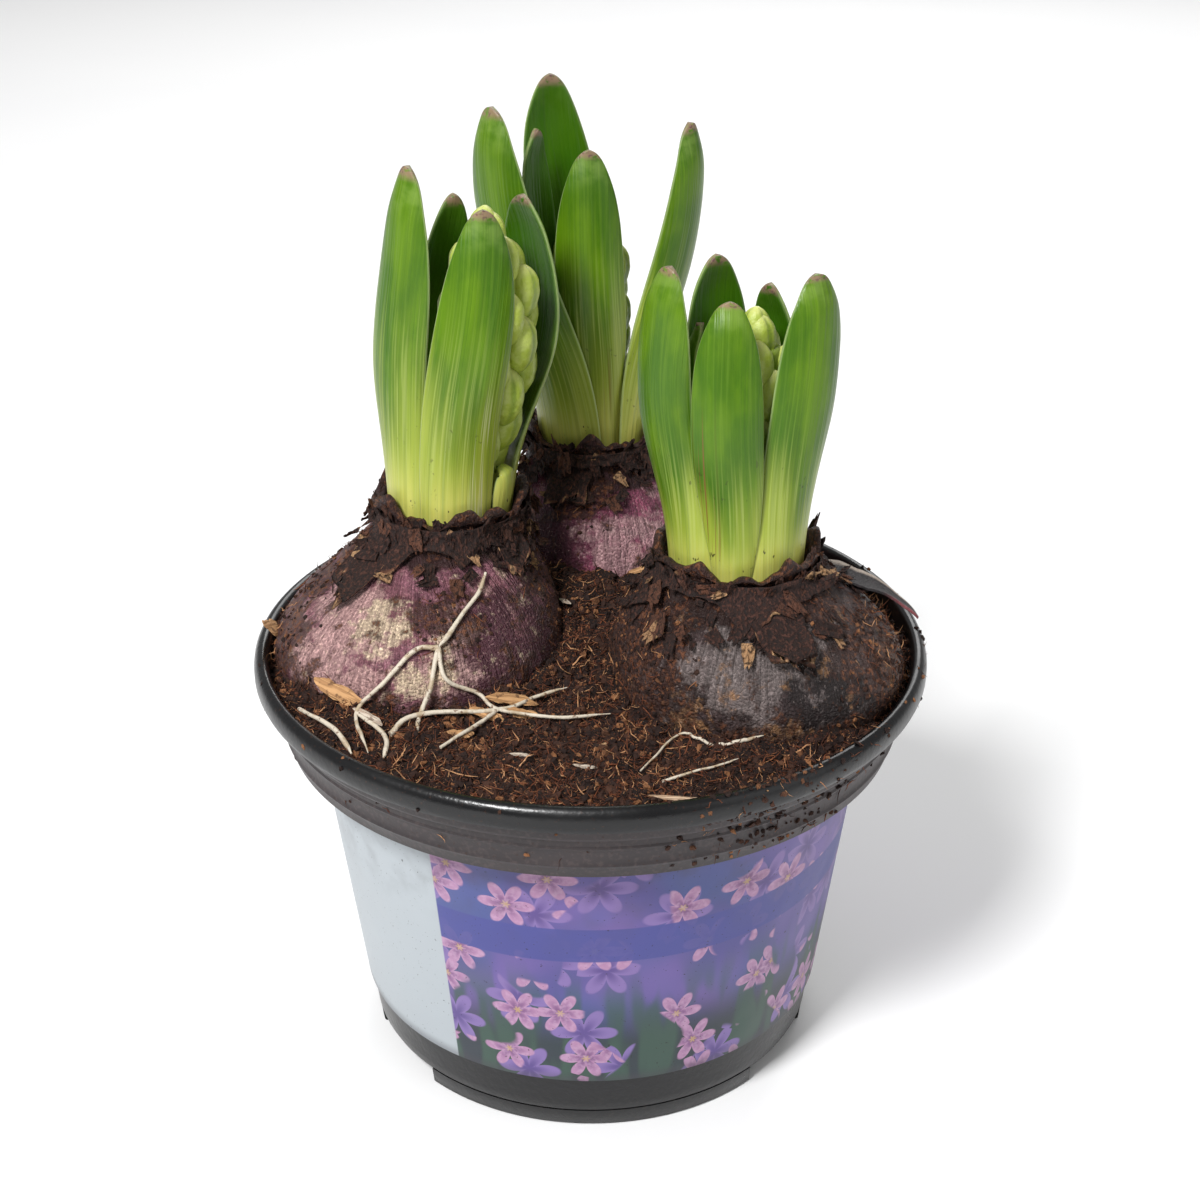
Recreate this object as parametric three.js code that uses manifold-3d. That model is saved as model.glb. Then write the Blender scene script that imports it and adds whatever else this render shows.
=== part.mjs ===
// Three forced hyacinths in bud, planted together in one round nursery pot.
// Millimetres, +Z up. The origin is the centre of the pot's foot, on the surface that it stands on,
// and the front of the pot faces -Y. Left, right and back name the three plants as seen from the front.

import * as THREE from "three";
import { mergeVertices } from "three/addons/utils/BufferGeometryUtils.js";
import Module from "manifold-3d";

const wasm = await Module();
wasm.setup();

// Driving dimensions of the pot and what fills it

const POT = {
  height: 84.5,
  rimRadius: 65,
  rimHeight: 5,
  bandRadius: 59.4,
  bandBottom: 67,
  bodyRadius: 53,
  footRadius: 44.2,
  footHeight: 3.2,
  footWidth: 5,
  footArcs: 3,
  footArcAngle: 90,
  wall: 1,
  drainHoles: 6,
  drainRadius: 4,
  drainCircle: 25,
  segments: 40,
};
const LABEL = { bottom: 12.5, top: 66.3, thickness: 0.5, seam: 2.5 };
const SOIL = { level: 82.2, heap: 9, heapX: 0, heapY: 16, heapSpread: 17, edge: 61.4 };
const GAP = 0.35; // clearance between pieces that touch on the real plant

// Driving dimensions of the plants. A neck is where the leaves leave the bulb. A leaf or a spike runs
// through base, mid and tip, given from the neck; angles are in degrees from +X, seen from above.

const BULB = { basal: 0.68, belowHeight: 0.75, shoulderPower: 1.7, shoulderTop: 0.92, segments: 28 };
const LEAF = {
  depth: 4.6,
  baseThickness: 2.4,
  tipThickness: 1.4,
  edgeThickness: 0.8,
  sheath: 0.74, // width of the base, as a share of the widest
  upright: 0.11, // how far the foot and the tip of the midrib stay upright
  hood: 1.6,
};
const BUD = { radius: 3.2, length: 10, sides: 5 };
const SOCKET_FLARE = 1.5; // how much wider the socket is at its lip than at its floor
const ROOT = { radius: 0.65, clearance: 0.85, sides: 5, stepsPerPoint: 3 };

const PLANTS = [
  {
    name: "left",
    bulb: { x: -33.1, y: 0.3, z: 83.4, radius: 27.6, phase: 0.6 },
    neck: { x: -26.8, y: 6, z: 110.5, radius: 13.9, socket: 12.3 },
    collar: { height: 3.4, ragged: 2.6, phase: 1.1 },
    leaves: [
      { from: 203, facing: 222, ring: 10.7, mid: [-9.9, -5.8, 32], tip: [-6.6, -5, 66], halfWidth: 8.2, sheath: 0.9 },
      { from: 279, facing: 276, ring: 10.7, mid: [4.8, -14, 29.5], tip: [8.2, -10, 59.3], halfWidth: 7.9 },
      { from: 24, facing: 48, ring: 10.7, mid: [17, 8.8, 31.5], tip: [15.4, 8.2, 57.5], halfWidth: 7.8 },
      { from: 110, facing: 112, ring: 10.7, mid: [-4, 13, 28], tip: [1.4, 9, 57.5], halfWidth: 5.9 },
      { from: 334, facing: 332, ring: 10.8, mid: [10.9, -5.7, 4], tip: [11.2, -6, 9], halfWidth: 3.3 },
    ],
    spike: { mid: [7.4, -1, 28], tip: [7.8, -1.5, 56.5], radius: 7, buds: 28, turn: 20 },
    flaps: [
      { from: 215, down: 11, out: 2.4, halfWidth: 5, phase: 0 },
      { from: 325, down: 8, out: 2, halfWidth: 4, phase: 2 },
    ],
  },
  {
    name: "right",
    bulb: { x: 31.2, y: -12.6, z: 86.2, radius: 27, phase: 2.1, shoulderPower: 1.15 },
    neck: { x: 27, y: -12.5, z: 108.2, radius: 14.6, socket: 12.9 },
    collar: { height: 3, ragged: 2.2, phase: 0.2 },
    leaves: [
      { from: 202, facing: 222, ring: 11.3, mid: [-15.3, -4.8, 29], tip: [-14.6, -5.5, 56], halfWidth: 7.4, sheath: 1 },
      { from: 263, facing: 268, ring: 11.3, mid: [-3.2, -14.2, 28], tip: [-3.2, -11, 51.3], halfWidth: 6.9, sheath: 0.4 },
      { from: 327, facing: 308, ring: 11.3, mid: [12, -7.6, 30], tip: [13.2, -5, 54.4], halfWidth: 8.1, sheath: 1 },
      { from: 118, facing: 112, ring: 11.3, mid: [-4.9, 11.5, 28], tip: [-5.1, 9.5, 54], halfWidth: 7.1 },
      { from: 49, facing: 54, ring: 11.3, mid: [8.6, 9.8, 24], tip: [5.8, 7.5, 49.3], halfWidth: 6 },
      { from: 190, facing: 190, ring: 7, mid: [-9.4, -0.6, 22], tip: [-9.2, 0.5, 44], halfWidth: 2.6 },
    ],
    spike: { mid: [1.8, 0, 23.5], tip: [2.2, -0.5, 47], radius: 5.8, buds: 22, turn: 75 },
    flaps: [{ from: 287, down: 9.5, out: 3.2, halfWidth: 5.6, phase: 1 }],
  },
  {
    name: "back",
    bulb: { x: 3, y: 38.1, z: 86.4, radius: 23.1, phase: 4.1 },
    neck: { x: 0.3, y: 38, z: 112, radius: 13.1, socket: 11.5 },
    collar: { height: 2.6, ragged: 2, phase: 2.9 },
    leaves: [
      { from: 233, facing: 224, ring: 9.8, mid: [-15, -9.6, 34], tip: [-20, -8, 67.6], halfWidth: 9, sheath: 0.96 },
      { from: 283, facing: 277, ring: 7.4, mid: [0.2, -11.2, 31], tip: [-0.3, -9.5, 59.6], halfWidth: 7.4, sheath: 0.55 },
      { from: 337, facing: 326, ring: 9.8, mid: [16.6, -1.1, 31], tip: [20.4, -0.8, 62.8], halfWidth: 7.4, sheath: 0.76 },
      { from: 76, facing: 95, ring: 9.6, mid: [-3.6, 13, 36], tip: [-8.2, 12.5, 69.5], halfWidth: 8 },
      { from: 146, facing: 136, ring: 9, mid: [-10.4, 5.8, 34], tip: [-11.7, 5, 60.6], halfWidth: 4.6 },
    ],
    spike: { mid: [-0.6, 0.6, 24], tip: [-0.8, -0.5, 47], radius: 5.9, buds: 22, turn: 130 },
    flaps: [{ from: 250, down: 8, out: 2, halfWidth: 4.5, phase: 3 }],
  },
];

// Small helpers

const degrees = THREE.MathUtils.degToRad;
const mix = THREE.MathUtils.lerp;
const smooth = (value) => THREE.MathUtils.smoothstep(value, 0, 1);

function inPlan(radius, angle, z) {
  return new THREE.Vector3(radius * Math.cos(angle), radius * Math.sin(angle), z);
}

// The parabola through three points, at 0, 1/2 and 1.
function parabola(start, middle, end, t) {
  return new THREE.Vector3()
    .addScaledVector(start, (1 - t) * (1 - 2 * t))
    .addScaledVector(middle, 4 * t * (1 - t))
    .addScaledVector(end, t * (2 * t - 1));
}

// A closed skin over rings of equal length. A ring of one point is a tip. Each end ring is closed by a
// fan round its centre, or, where the second half of each ring is the back of the first, by a strip.
function skin(rings, twoSided = false) {
  const points = [];
  const faces = [];
  const count = Math.max(...rings.map((ring) => ring.length));
  const starts = rings.map((ring) => {
    points.push(...ring);
    return points.length - ring.length;
  });
  const quad = (a, b, c, d) => faces.push(a, b, c, a, c, d);
  for (let i = 0; i + 1 < rings.length; i++) {
    for (let j = 0; j < count; j++) {
      const next = (j + 1) % count;
      const [low, high] = [starts[i], starts[i + 1]];
      if (rings[i].length === 1) faces.push(low, high + next, high + j);
      else if (rings[i + 1].length === 1) faces.push(low + j, low + next, high);
      else if (twoSided && j >= count / 2) quad(low + next, high + next, high + j, low + j);
      else quad(low + j, low + next, high + next, high + j);
    }
  }
  const close = (ring, start, atStart) => {
    if (ring.length === 1) return;
    if (twoSided) {
      for (let j = 0; j + 1 < count / 2; j++) {
        const [a, b, c, d] = [j, j + 1, count - 2 - j, count - 1 - j].map((k) => start + k);
        if (atStart) quad(a, d, c, b);
        else quad(a, b, c, d);
      }
      return;
    }
    const centre = ring.reduce((sum, point) => sum.add(point), new THREE.Vector3());
    points.push(centre.divideScalar(ring.length));
    for (let j = 0; j < count; j++) {
      const next = (j + 1) % count;
      if (atStart) faces.push(points.length - 1, start + next, start + j);
      else faces.push(points.length - 1, start + j, start + next);
    }
  };
  close(rings[0], starts[0], true);
  close(rings.at(-1), starts.at(-1), false);
  return new THREE.BufferGeometry().setFromPoints(points).setIndex(faces);
}

function circleRing(segments, place) {
  return Array.from({ length: segments }, (_, i) => place((i / segments) * 2 * Math.PI));
}

// A section of (radius, height) points, turned about Z.
function turned(section, segments) {
  const points = section.map(([radius, height]) => new THREE.Vector2(radius, height));
  return new THREE.LatheGeometry(points, segments).rotateX(Math.PI / 2);
}

function solidOf(geometry) {
  const bare = geometry.clone();
  bare.deleteAttribute("normal");
  bare.deleteAttribute("uv");
  const merged = mergeVertices(bare, 1e-4);
  const data = {
    numProp: 3,
    vertProperties: new Float32Array(merged.attributes.position.array),
    triVerts: new Uint32Array(merged.index.array),
  };
  return new wasm.Manifold(new wasm.Mesh(data));
}

function geometryOf(solid) {
  const mesh = solid.getMesh();
  const geometry = new THREE.BufferGeometry();
  geometry.setAttribute("position", new THREE.BufferAttribute(mesh.vertProperties, 3));
  return geometry.setIndex(new THREE.BufferAttribute(mesh.triVerts, 1));
}

const join = (solids) => solids.reduce((whole, piece) => whole.add(piece));

// The pot

// Outer radius of the tapered body at a height.
function bodyRadius(z) {
  return mix(POT.footRadius, POT.bodyRadius, z / POT.bandBottom);
}

function potShell() {
  const { height, rimRadius, rimHeight, bandRadius, bandBottom, footHeight, wall } = POT;
  const rimBottom = height - rimHeight;
  const ledge = bandBottom + wall;
  const floor = footHeight + wall;
  return turned(
    [
      [0, footHeight],
      [bodyRadius(footHeight), footHeight],
      [bodyRadius(bandBottom), bandBottom],
      [bandRadius - 0.8, bandBottom + 0.2],
      [bandRadius, bandBottom + 1],
      [bandRadius + 1, bandBottom + 6],
      [bandRadius + 2.2, bandBottom + 6.6],
      [bandRadius + 2.8, rimBottom],
      [rimRadius - 1, rimBottom],
      [rimRadius, rimBottom + 1.2],
      [rimRadius, height - 1.8],
      [rimRadius - 0.9, height - 0.4],
      [rimRadius - 1.9, height],
      [rimRadius - 2.7, height - 0.7],
      [bandRadius + 2.2 - 0.1, rimBottom],
      [bandRadius + 1.2, bandBottom + 7.4],
      [bandRadius - wall, ledge + 0.8],
      [bandRadius - wall - 0.8, ledge],
      [bodyRadius(ledge) - wall, ledge - 0.4],
      [bodyRadius(floor) - wall, floor],
      [0, floor],
    ],
    POT.segments,
  );
}

// One arc of the foot, centred on an angle.
function footArc(angle) {
  const half = degrees(POT.footArcAngle / 2);
  const outer = bodyRadius(0);
  const outline = new THREE.Shape();
  outline.absarc(0, 0, outer, angle - half, angle + half, false);
  outline.absarc(0, 0, outer - POT.footWidth, angle + half, angle - half, true);
  const options = { depth: POT.footHeight + POT.wall / 2, bevelEnabled: false, curveSegments: 10 };
  return new THREE.ExtrudeGeometry(outline, options);
}

function drainHole(index) {
  const depth = 4 * POT.wall;
  const angle = ((index + 0.5) / POT.drainHoles) * 2 * Math.PI;
  const centre = inPlan(POT.drainCircle, angle, POT.footHeight + POT.wall / 2);
  return new THREE.CylinderGeometry(POT.drainRadius, POT.drainRadius, depth, 8)
    .rotateX(Math.PI / 2)
    .translate(centre.x, centre.y, centre.z);
}

function potGeometry() {
  const front = -Math.PI / 2;
  const feet = Array.from({ length: POT.footArcs }, (_, i) =>
    solidOf(footArc(front + (i / POT.footArcs) * 2 * Math.PI)),
  );
  const holes = Array.from({ length: POT.drainHoles }, (_, i) => solidOf(drainHole(i)));
  return geometryOf(join([solidOf(potShell()), ...feet]).subtract(join(holes)));
}

function labelGeometry() {
  const back = Math.PI / 2;
  const seam = LABEL.seam / bodyRadius(LABEL.bottom);
  const sections = Array.from({ length: POT.segments + 1 }, (_, i) => {
    const angle = back + seam / 2 + (i / POT.segments) * (2 * Math.PI - seam);
    const at = (z, out) => inPlan(bodyRadius(z) + GAP + out, angle, z);
    const { bottom, top, thickness } = LABEL;
    return [at(bottom, thickness), at(bottom, 0), at(top, 0), at(top, thickness)];
  });
  return skin(sections);
}

// Bulbs

function lumps(angle, rise, phase) {
  return (
    0.016 * Math.sin(2 * angle + phase) +
    0.012 * Math.sin(3 * angle - 1.7 * phase + 2 * rise) +
    0.006 * Math.sin(7 * angle + 3 * phase - 3 * rise)
  );
}

// The centre and mean radius of a bulb's level cut at a height.
function bulbCut(plant, z) {
  const { bulb, neck } = plant;
  const rise = (z - bulb.z) / (neck.z - bulb.z);
  if (rise <= 0) {
    const fall = Math.min(1, (bulb.z - z) / (BULB.belowHeight * bulb.radius));
    return { x: bulb.x, y: bulb.y, radius: bulb.radius * Math.sqrt(1 - fall * fall), rise };
  }
  const power = bulb.shoulderPower ?? BULB.shoulderPower;
  const share = Math.cos((Math.PI / 2) * Math.min(1, rise / BULB.shoulderTop)) ** power;
  return {
    x: mix(bulb.x, neck.x, smooth(rise)),
    y: mix(bulb.y, neck.y, smooth(rise)),
    radius: mix(neck.radius, bulb.radius, share),
    rise,
  };
}

function bulbPoint(plant, angle, z, offset) {
  const cut = bulbCut(plant, z);
  const radius = cut.radius * (1 + lumps(angle, cut.rise, plant.bulb.phase)) + offset;
  return inPlan(radius, angle, z).add(new THREE.Vector3(cut.x, cut.y, 0));
}

// The bulb's outside from its flat base to its neck, moved out by an offset.
function bulbRings(plant, offset) {
  const { bulb, neck } = plant;
  const base = bulb.z - BULB.basal * bulb.radius;
  const below = [0, 0.18, 0.42, 0.7].map((t) => mix(base, bulb.z, t));
  const above = [0, 0.22, 0.42, 0.6, 0.76, 0.9, 1].map((t) => mix(bulb.z, neck.z, t));
  const rings = [...below, ...above].map((z) =>
    circleRing(BULB.segments, (angle) => bulbPoint(plant, angle, z, offset)),
  );
  rings[0].forEach((point) => point.setZ(base - offset));
  return rings;
}

// Height of the torn tunic above the neck, round the collar.
function collarRise(plant, angle) {
  const { height, ragged, phase } = plant.collar;
  const wave = Math.sin(5 * angle + phase) + 0.7 * Math.sin(11 * angle - 2 * phase);
  return height * 0.5 + ragged * wave * 0.6;
}

// The ragged lip of dry tunic round the neck, before the socket is cut into it.
function collarRings(plant) {
  const { neck, collar } = plant;
  const ring = (radius, height) =>
    circleRing(BULB.segments, (angle) => {
      const flare = 0.5 * Math.sin(4 * angle + collar.phase);
      const z = neck.z + height * collarRise(plant, angle);
      return inPlan(radius + flare * height, angle, z).add(new THREE.Vector3(neck.x, neck.y, 0));
    });
  return [ring(neck.radius + 0.9, 0.5), ring(neck.radius + 0.7, 1), ring(neck.socket - 2, 0.9)];
}

// The socket that holds the leaves, wider at its lip than at its floor. It is turned by half a segment,
// so that its edges fall between those of the collar.
function socketCut({ neck }) {
  const depth = LEAF.depth + GAP;
  return new THREE.CylinderGeometry(neck.socket + SOCKET_FLARE, neck.socket, 2 * depth, BULB.segments)
    .rotateX(Math.PI / 2)
    .rotateZ(Math.PI / 2 + Math.PI / BULB.segments)
    .translate(neck.x, neck.y, neck.z);
}

// A torn flap of tunic that peels off the shoulder and points down and out.
function tunicFlap(plant, flap) {
  const { neck } = plant;
  const across = [-1, -0.4, 0.3, 1];
  const rings = [0, 0.35, 0.7, 1].map((t) => {
    const z = neck.z - 1 - flap.down * t;
    const width = flap.halfWidth * (1 - 0.55 * t ** 2);
    const lift = mix(-0.9, flap.out, t ** 1.5);
    const row = across.map((u) => {
      const drop = 1.6 * t * Math.sin(2.6 * u + flap.phase);
      const angle = degrees(flap.from) + (u * width) / bulbCut(plant, z).radius;
      return [angle, z - drop];
    });
    const face = (side) => row.map(([angle, height]) => bulbPoint(plant, angle, height, lift + side));
    return [...face(0.8), ...face(-0.1).reverse()];
  });
  return skin(rings.reverse(), true);
}

// The large flake of tunic that has sprung away from the right bulb's shoulder.
function peeledFlake() {
  const start = new THREE.Vector3(40.5, -9.2, 101.2);
  const middle = new THREE.Vector3(52.6, -7.6, 98.8);
  const end = new THREE.Vector3(62, -6.2, 91.4);
  const normal = new THREE.Vector3(0.48, 0.1, 0.87).normalize();
  const side = new THREE.Vector3(-0.15, 1, 0).normalize();
  const rings = [0, 0.25, 0.5, 0.75, 1].map((t) => {
    const width = mix(5.2, 1.6, t ** 1.6);
    const row = [-1, -0.35, 0.35, 1].map((u) =>
      parabola(start, middle, end, t)
        .addScaledVector(side, u * width)
        .addScaledVector(normal, 1.1 * u * u * (1 - t)),
    );
    const face = (shift) => row.map((point) => point.clone().addScaledVector(normal, shift));
    return [...face(0.4), ...face(-0.4).reverse()];
  });
  return skin(rings, true);
}

function bulbGeometry(plant) {
  const body = solidOf(skin([...bulbRings(plant, 0), ...collarRings(plant)]));
  const flaps = plant.flaps.map((flap) => solidOf(tunicFlap(plant, flap)));
  if (plant.name === "right") flaps.push(solidOf(peeledFlake()));
  return geometryOf(join([body, ...flaps]).subtract(solidOf(socketCut(plant))));
}

// Soil

function soilHeight(x, y) {
  const spread = ((x - SOIL.heapX) ** 2 + (y - SOIL.heapY) ** 2) / SOIL.heapSpread ** 2;
  const clods =
    0.5 * Math.sin(0.31 * x + 1.3) * Math.cos(0.27 * y) +
    0.35 * Math.sin(0.57 * x - 0.41 * y) +
    0.25 * Math.sin(0.62 * y + 0.35 * x + 2);
  return SOIL.level + SOIL.heap * Math.exp(-spread) + clods;
}

function soilGeometry() {
  const { bandRadius, bandBottom, footHeight, wall } = POT;
  const bottom = footHeight + wall + GAP;
  const ledge = bandBottom + wall + GAP + 0.3;
  const inside = (z) => bodyRadius(z) - wall - GAP - 0.15;
  const level = (radius, z) => circleRing(POT.segments, (angle) => inPlan(radius, angle, z));
  const top = (radius) =>
    circleRing(POT.segments, (angle) => {
      const point = inPlan(radius, angle, 0);
      return point.setZ(soilHeight(point.x, point.y));
    });
  const whole = skin([
    level(inside(bottom), bottom),
    level(inside(ledge), ledge - 0.2),
    level(bandRadius - wall - 1.4, ledge + 0.2),
    level(bandRadius - 0.1, bandBottom + 7.4),
    ...[1, 0.92, 0.81, 0.69, 0.56, 0.43, 0.3, 0.17, 0.06].map((share) => top(share * SOIL.edge)),
  ]);
  const hollows = PLANTS.map((plant) => solidOf(skin(bulbRings(plant, GAP))));
  return geometryOf(solidOf(whole).subtract(join(hollows)));
}

// Leaves

function leafBase(plant, leaf) {
  const { neck } = plant;
  return inPlan(leaf.ring, degrees(leaf.from), neck.z - LEAF.depth).add(
    new THREE.Vector3(neck.x, neck.y, 0),
  );
}

function fromNeck(plant, [x, y, z]) {
  return new THREE.Vector3(plant.neck.x + x, plant.neck.y + y, plant.neck.z + z);
}

function leafMidrib(plant, leaf, t) {
  const route = [leafBase(plant, leaf), fromNeck(plant, leaf.mid), fromNeck(plant, leaf.tip)];
  const point = parabola(...route, t - LEAF.upright * Math.sin(2 * Math.PI * t));
  point.z = parabola(...route, t).z;
  const inward = inPlan(-LEAF.hood * smooth((t - 0.8) / 0.2) ** 2, degrees(leaf.facing), 0);
  return point.add(inward);
}

// Half the leaf's width: a sheathing base, parallel sides and a blunt tip.
function leafHalfWidth(leaf, t) {
  if (t < 0.5) return leaf.halfWidth * mix(leaf.sheath ?? LEAF.sheath, 1, Math.sin(Math.PI * t));
  return leaf.halfWidth * (1 - (2 * t - 1) ** 2.2) ** 0.62;
}

// The channelled blade's point at t along it and u across it, on its outer (1) or inner (-1) face.
function leafPoint(plant, leaf, t, u, face) {
  const step = 0.01;
  const along = leafMidrib(plant, leaf, t + step).sub(leafMidrib(plant, leaf, t - step)).normalize();
  const open = smooth(t / 0.5);
  const facing = degrees(mix(leaf.from, leaf.facing, open));
  const outward = inPlan(1, facing, 0);
  outward.addScaledVector(along, -outward.dot(along)).normalize();
  const side = along.clone().cross(outward);
  const channel = mix(leaf.ring, 1.32 * leaf.halfWidth, open) * (1 - 0.35 * smooth((t - 0.8) / 0.2));
  const angle = (u * leafHalfWidth(leaf, t)) / channel;
  const middle = mix(LEAF.baseThickness, LEAF.tipThickness, t);
  const thickness = mix(middle, LEAF.edgeThickness, u * u);
  const radius = channel + (face * thickness) / 2;
  return leafMidrib(plant, leaf, t)
    .addScaledVector(side, radius * Math.sin(angle))
    .addScaledVector(outward, radius * Math.cos(angle) - channel);
}

function leafGeometry(plant, leaf) {
  const across = [-1, -0.5, 0, 0.5, 1];
  const steps = 11;
  const rings = Array.from({ length: steps }, (_, i) => {
    const t = Math.sin((Math.PI / 2) * (i / steps));
    const face = (side) => across.map((u) => leafPoint(plant, leaf, t, u, side));
    return [...face(1), ...face(-1).reverse()];
  });
  return skin([...rings, [leafMidrib(plant, leaf, 1)]], true);
}

// Flower spikes

function spikeAxis(plant, t) {
  const { spike } = plant;
  const base = fromNeck(plant, [0, 0, -LEAF.depth]);
  return parabola(base, fromNeck(plant, spike.mid), fromNeck(plant, spike.tip), t);
}

// Radius of the spike's core: a bare stalk, then a cone of buds that closes at the top.
function coreRadius(spike, t) {
  if (t < 0.2) return 4.4;
  return mix(4.4, spike.radius, smooth((t - 0.2) / 0.25)) * Math.sqrt(1 - smooth((t - 0.62) / 0.45) * 0.75);
}

function spikeCore(plant) {
  const rings = [0, 0.2, 0.35, 0.5, 0.65, 0.8, 0.92].map((t) => {
    const centre = spikeAxis(plant, t);
    return circleRing(10, (angle) => inPlan(coreRadius(plant.spike, t), angle, 0).add(centre));
  });
  return skin(rings);
}

// One closed bud, pointed at both ends, that leans out from the core.
function bud(plant, index) {
  const { spike } = plant;
  const share = index / (spike.buds - 1);
  const t = mix(0.24, 0.9, share);
  const size = mix(1, 0.72, share ** 2);
  const angle = index * degrees(137.5) + degrees(spike.turn);
  const lean = mix(0.3, 0.08, share);
  const sections = [
    [-0.5, 0],
    [-0.16, 1],
    [0.24, 0.9],
    [0.5, 0],
  ];
  const section = sections.map(([height, width]) => [width * BUD.radius, height * BUD.length]);
  const place = spikeAxis(plant, t).add(inPlan(coreRadius(spike, t) - 0.4, angle, 0));
  return turned(section, BUD.sides)
    .scale(size, size, size)
    .rotateY(lean)
    .rotateZ(angle)
    .translate(place.x, place.y, place.z);
}

function spikeGeometry(plant) {
  const buds = Array.from({ length: plant.spike.buds }, (_, i) => solidOf(bud(plant, i)));
  return geometryOf(join([solidOf(spikeCore(plant)), ...buds]));
}

// Loose roots. A strand runs over the left bulb or the soil, through points chosen by hand.

function onLeftBulb(angle, z) {
  return bulbPoint(PLANTS[0], degrees(angle), z, ROOT.radius + ROOT.clearance);
}

function onSoil(x, y) {
  return new THREE.Vector3(x, y, soilHeight(x, y) + ROOT.radius + ROOT.clearance);
}

const fork = onLeftBulb(277.5, 93.3);
const crossing = onSoil(-16.6, -28.6);
const ROOTS = {
  roots_left: [
    [onLeftBulb(300, 102.5), onLeftBulb(295.7, 100.2), onLeftBulb(286, 97), fork],
    [fork, onLeftBulb(268, 93), onLeftBulb(259.4, 88.3), onSoil(-42.9, -29.2), onSoil(-39.5, -43)],
    [fork, onLeftBulb(277.4, 87.5), onSoil(-31, -30), onSoil(-31.2, -35.5)],
    [fork, onLeftBulb(283, 88.5), onLeftBulb(295.5, 85.2), crossing, onSoil(-5.6, -31), onSoil(3.6, -29)],
    [onSoil(-36.2, -35.5), onSoil(-31.5, -31), crossing, onSoil(-10.3, -22.5), onSoil(-4.4, -20)],
    [onSoil(-26.8, -41), onSoil(-21.8, -35), crossing],
    [onSoil(-42.9, -29.2), onSoil(-37.2, -36.5), onSoil(-36.7, -44)],
  ],
  root_stray: [[onSoil(-53.6, -26.8), onSoil(-50.6, -31.4), onSoil(-46, -36.5), onSoil(-42.6, -41.6)]],
  root_right_1: [[onSoil(8.7, -48), onSoil(15.6, -37.2), onSoil(21.8, -40.6), onSoil(31, -42.2)]],
  root_right_2: [[onSoil(12.4, -52.1), onSoil(19.1, -50.2), onSoil(26, -47)]],
};

function strand(points) {
  const corner = (angle) => new THREE.Vector2(Math.cos(angle), Math.sin(angle)).multiplyScalar(ROOT.radius);
  const outline = new THREE.Shape(circleRing(ROOT.sides, corner));
  return new THREE.ExtrudeGeometry(outline, {
    steps: ROOT.stepsPerPoint * (points.length - 1),
    bevelEnabled: false,
    extrudePath: new THREE.CatmullRomCurve3(points),
  });
}

function rootsGeometry(strands) {
  return geometryOf(join(strands.map((points) => solidOf(strand(points)))));
}

// Finishes

function finish(color, roughness) {
  return new THREE.MeshStandardMaterial({ color, roughness, metalness: 0 });
}

const FINISHES = {
  pot: finish("#1c1c1e", 0.35),
  label: finish("#7f78b8", 0.45),
  soil: finish("#3a2017", 0.95),
  left: finish("#6d4350", 0.75),
  right: finish("#473b3e", 0.8),
  back: finish("#6f4058", 0.75),
  leaf: finish("#4f8a2c", 0.45),
  spike: finish("#a9bf5e", 0.5),
  root: finish("#e6ddc9", 0.6),
};

function named(name, geometry, material) {
  const mesh = new THREE.Mesh(geometry, material);
  mesh.name = name;
  return mesh;
}

function plantGroup(plant) {
  const group = new THREE.Group();
  group.add(named(`bulb_${plant.name}`, bulbGeometry(plant), FINISHES[plant.name]));
  plant.leaves.forEach((leaf, i) => {
    group.add(named(`leaf_${plant.name}_${i + 1}`, leafGeometry(plant, leaf), FINISHES.leaf));
  });
  group.add(named(`flower_spike_${plant.name}`, spikeGeometry(plant), FINISHES.spike));
  return group;
}

const hyacinths = new THREE.Group();
hyacinths.add(named("pot", potGeometry(), FINISHES.pot));
hyacinths.add(named("label", labelGeometry(), FINISHES.label));
hyacinths.add(named("soil", soilGeometry(), FINISHES.soil));
hyacinths.add(...PLANTS.map(plantGroup));
for (const [name, strands] of Object.entries(ROOTS)) {
  hyacinths.add(named(name, rootsGeometry(strands), FINISHES.root));
}

export default hyacinths;
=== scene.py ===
"""Three forced hyacinths in bud, planted in one round nursery pot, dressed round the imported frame.

+Z is up and the front of the pot faces -Y. Every size is in millimetres until a mesh is made of it.
Left, right and back name the three plants as seen from the front.
"""

import logging
import math
from collections.abc import Callable
from dataclasses import dataclass, field
from enum import Enum

import bpy
import numpy as np
from mathutils import Matrix, Vector


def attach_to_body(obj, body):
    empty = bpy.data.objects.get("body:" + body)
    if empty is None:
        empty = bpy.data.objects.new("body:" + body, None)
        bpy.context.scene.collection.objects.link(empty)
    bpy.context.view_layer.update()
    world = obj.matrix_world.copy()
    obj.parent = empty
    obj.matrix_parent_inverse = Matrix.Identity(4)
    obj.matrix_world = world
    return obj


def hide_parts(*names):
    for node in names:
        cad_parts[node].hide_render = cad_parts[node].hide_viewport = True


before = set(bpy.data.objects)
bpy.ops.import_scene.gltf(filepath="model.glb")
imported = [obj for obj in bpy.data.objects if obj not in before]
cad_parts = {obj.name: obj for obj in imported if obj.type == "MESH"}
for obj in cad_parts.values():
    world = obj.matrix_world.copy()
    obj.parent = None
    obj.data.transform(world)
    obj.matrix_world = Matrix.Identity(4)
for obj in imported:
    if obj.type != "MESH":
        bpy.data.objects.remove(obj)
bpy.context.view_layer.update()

Array = np.ndarray
Collection, Material, Object = bpy.types.Collection, bpy.types.Material, bpy.types.Object
Node, Socket, Tree = bpy.types.Node, bpy.types.NodeSocket, bpy.types.NodeTree
Look = tuple[Socket, Socket | None, float]  # a colour, a height for the relief and its depth in mm
MM = 0.001
FULL_TURN = 2 * math.pi
SHARP_EDGE = math.radians(40)  # edges that bend more stay sharp
ROOT_BODY = "root"
log = logging.getLogger("hyacinths")


# Arithmetic on points


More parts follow.
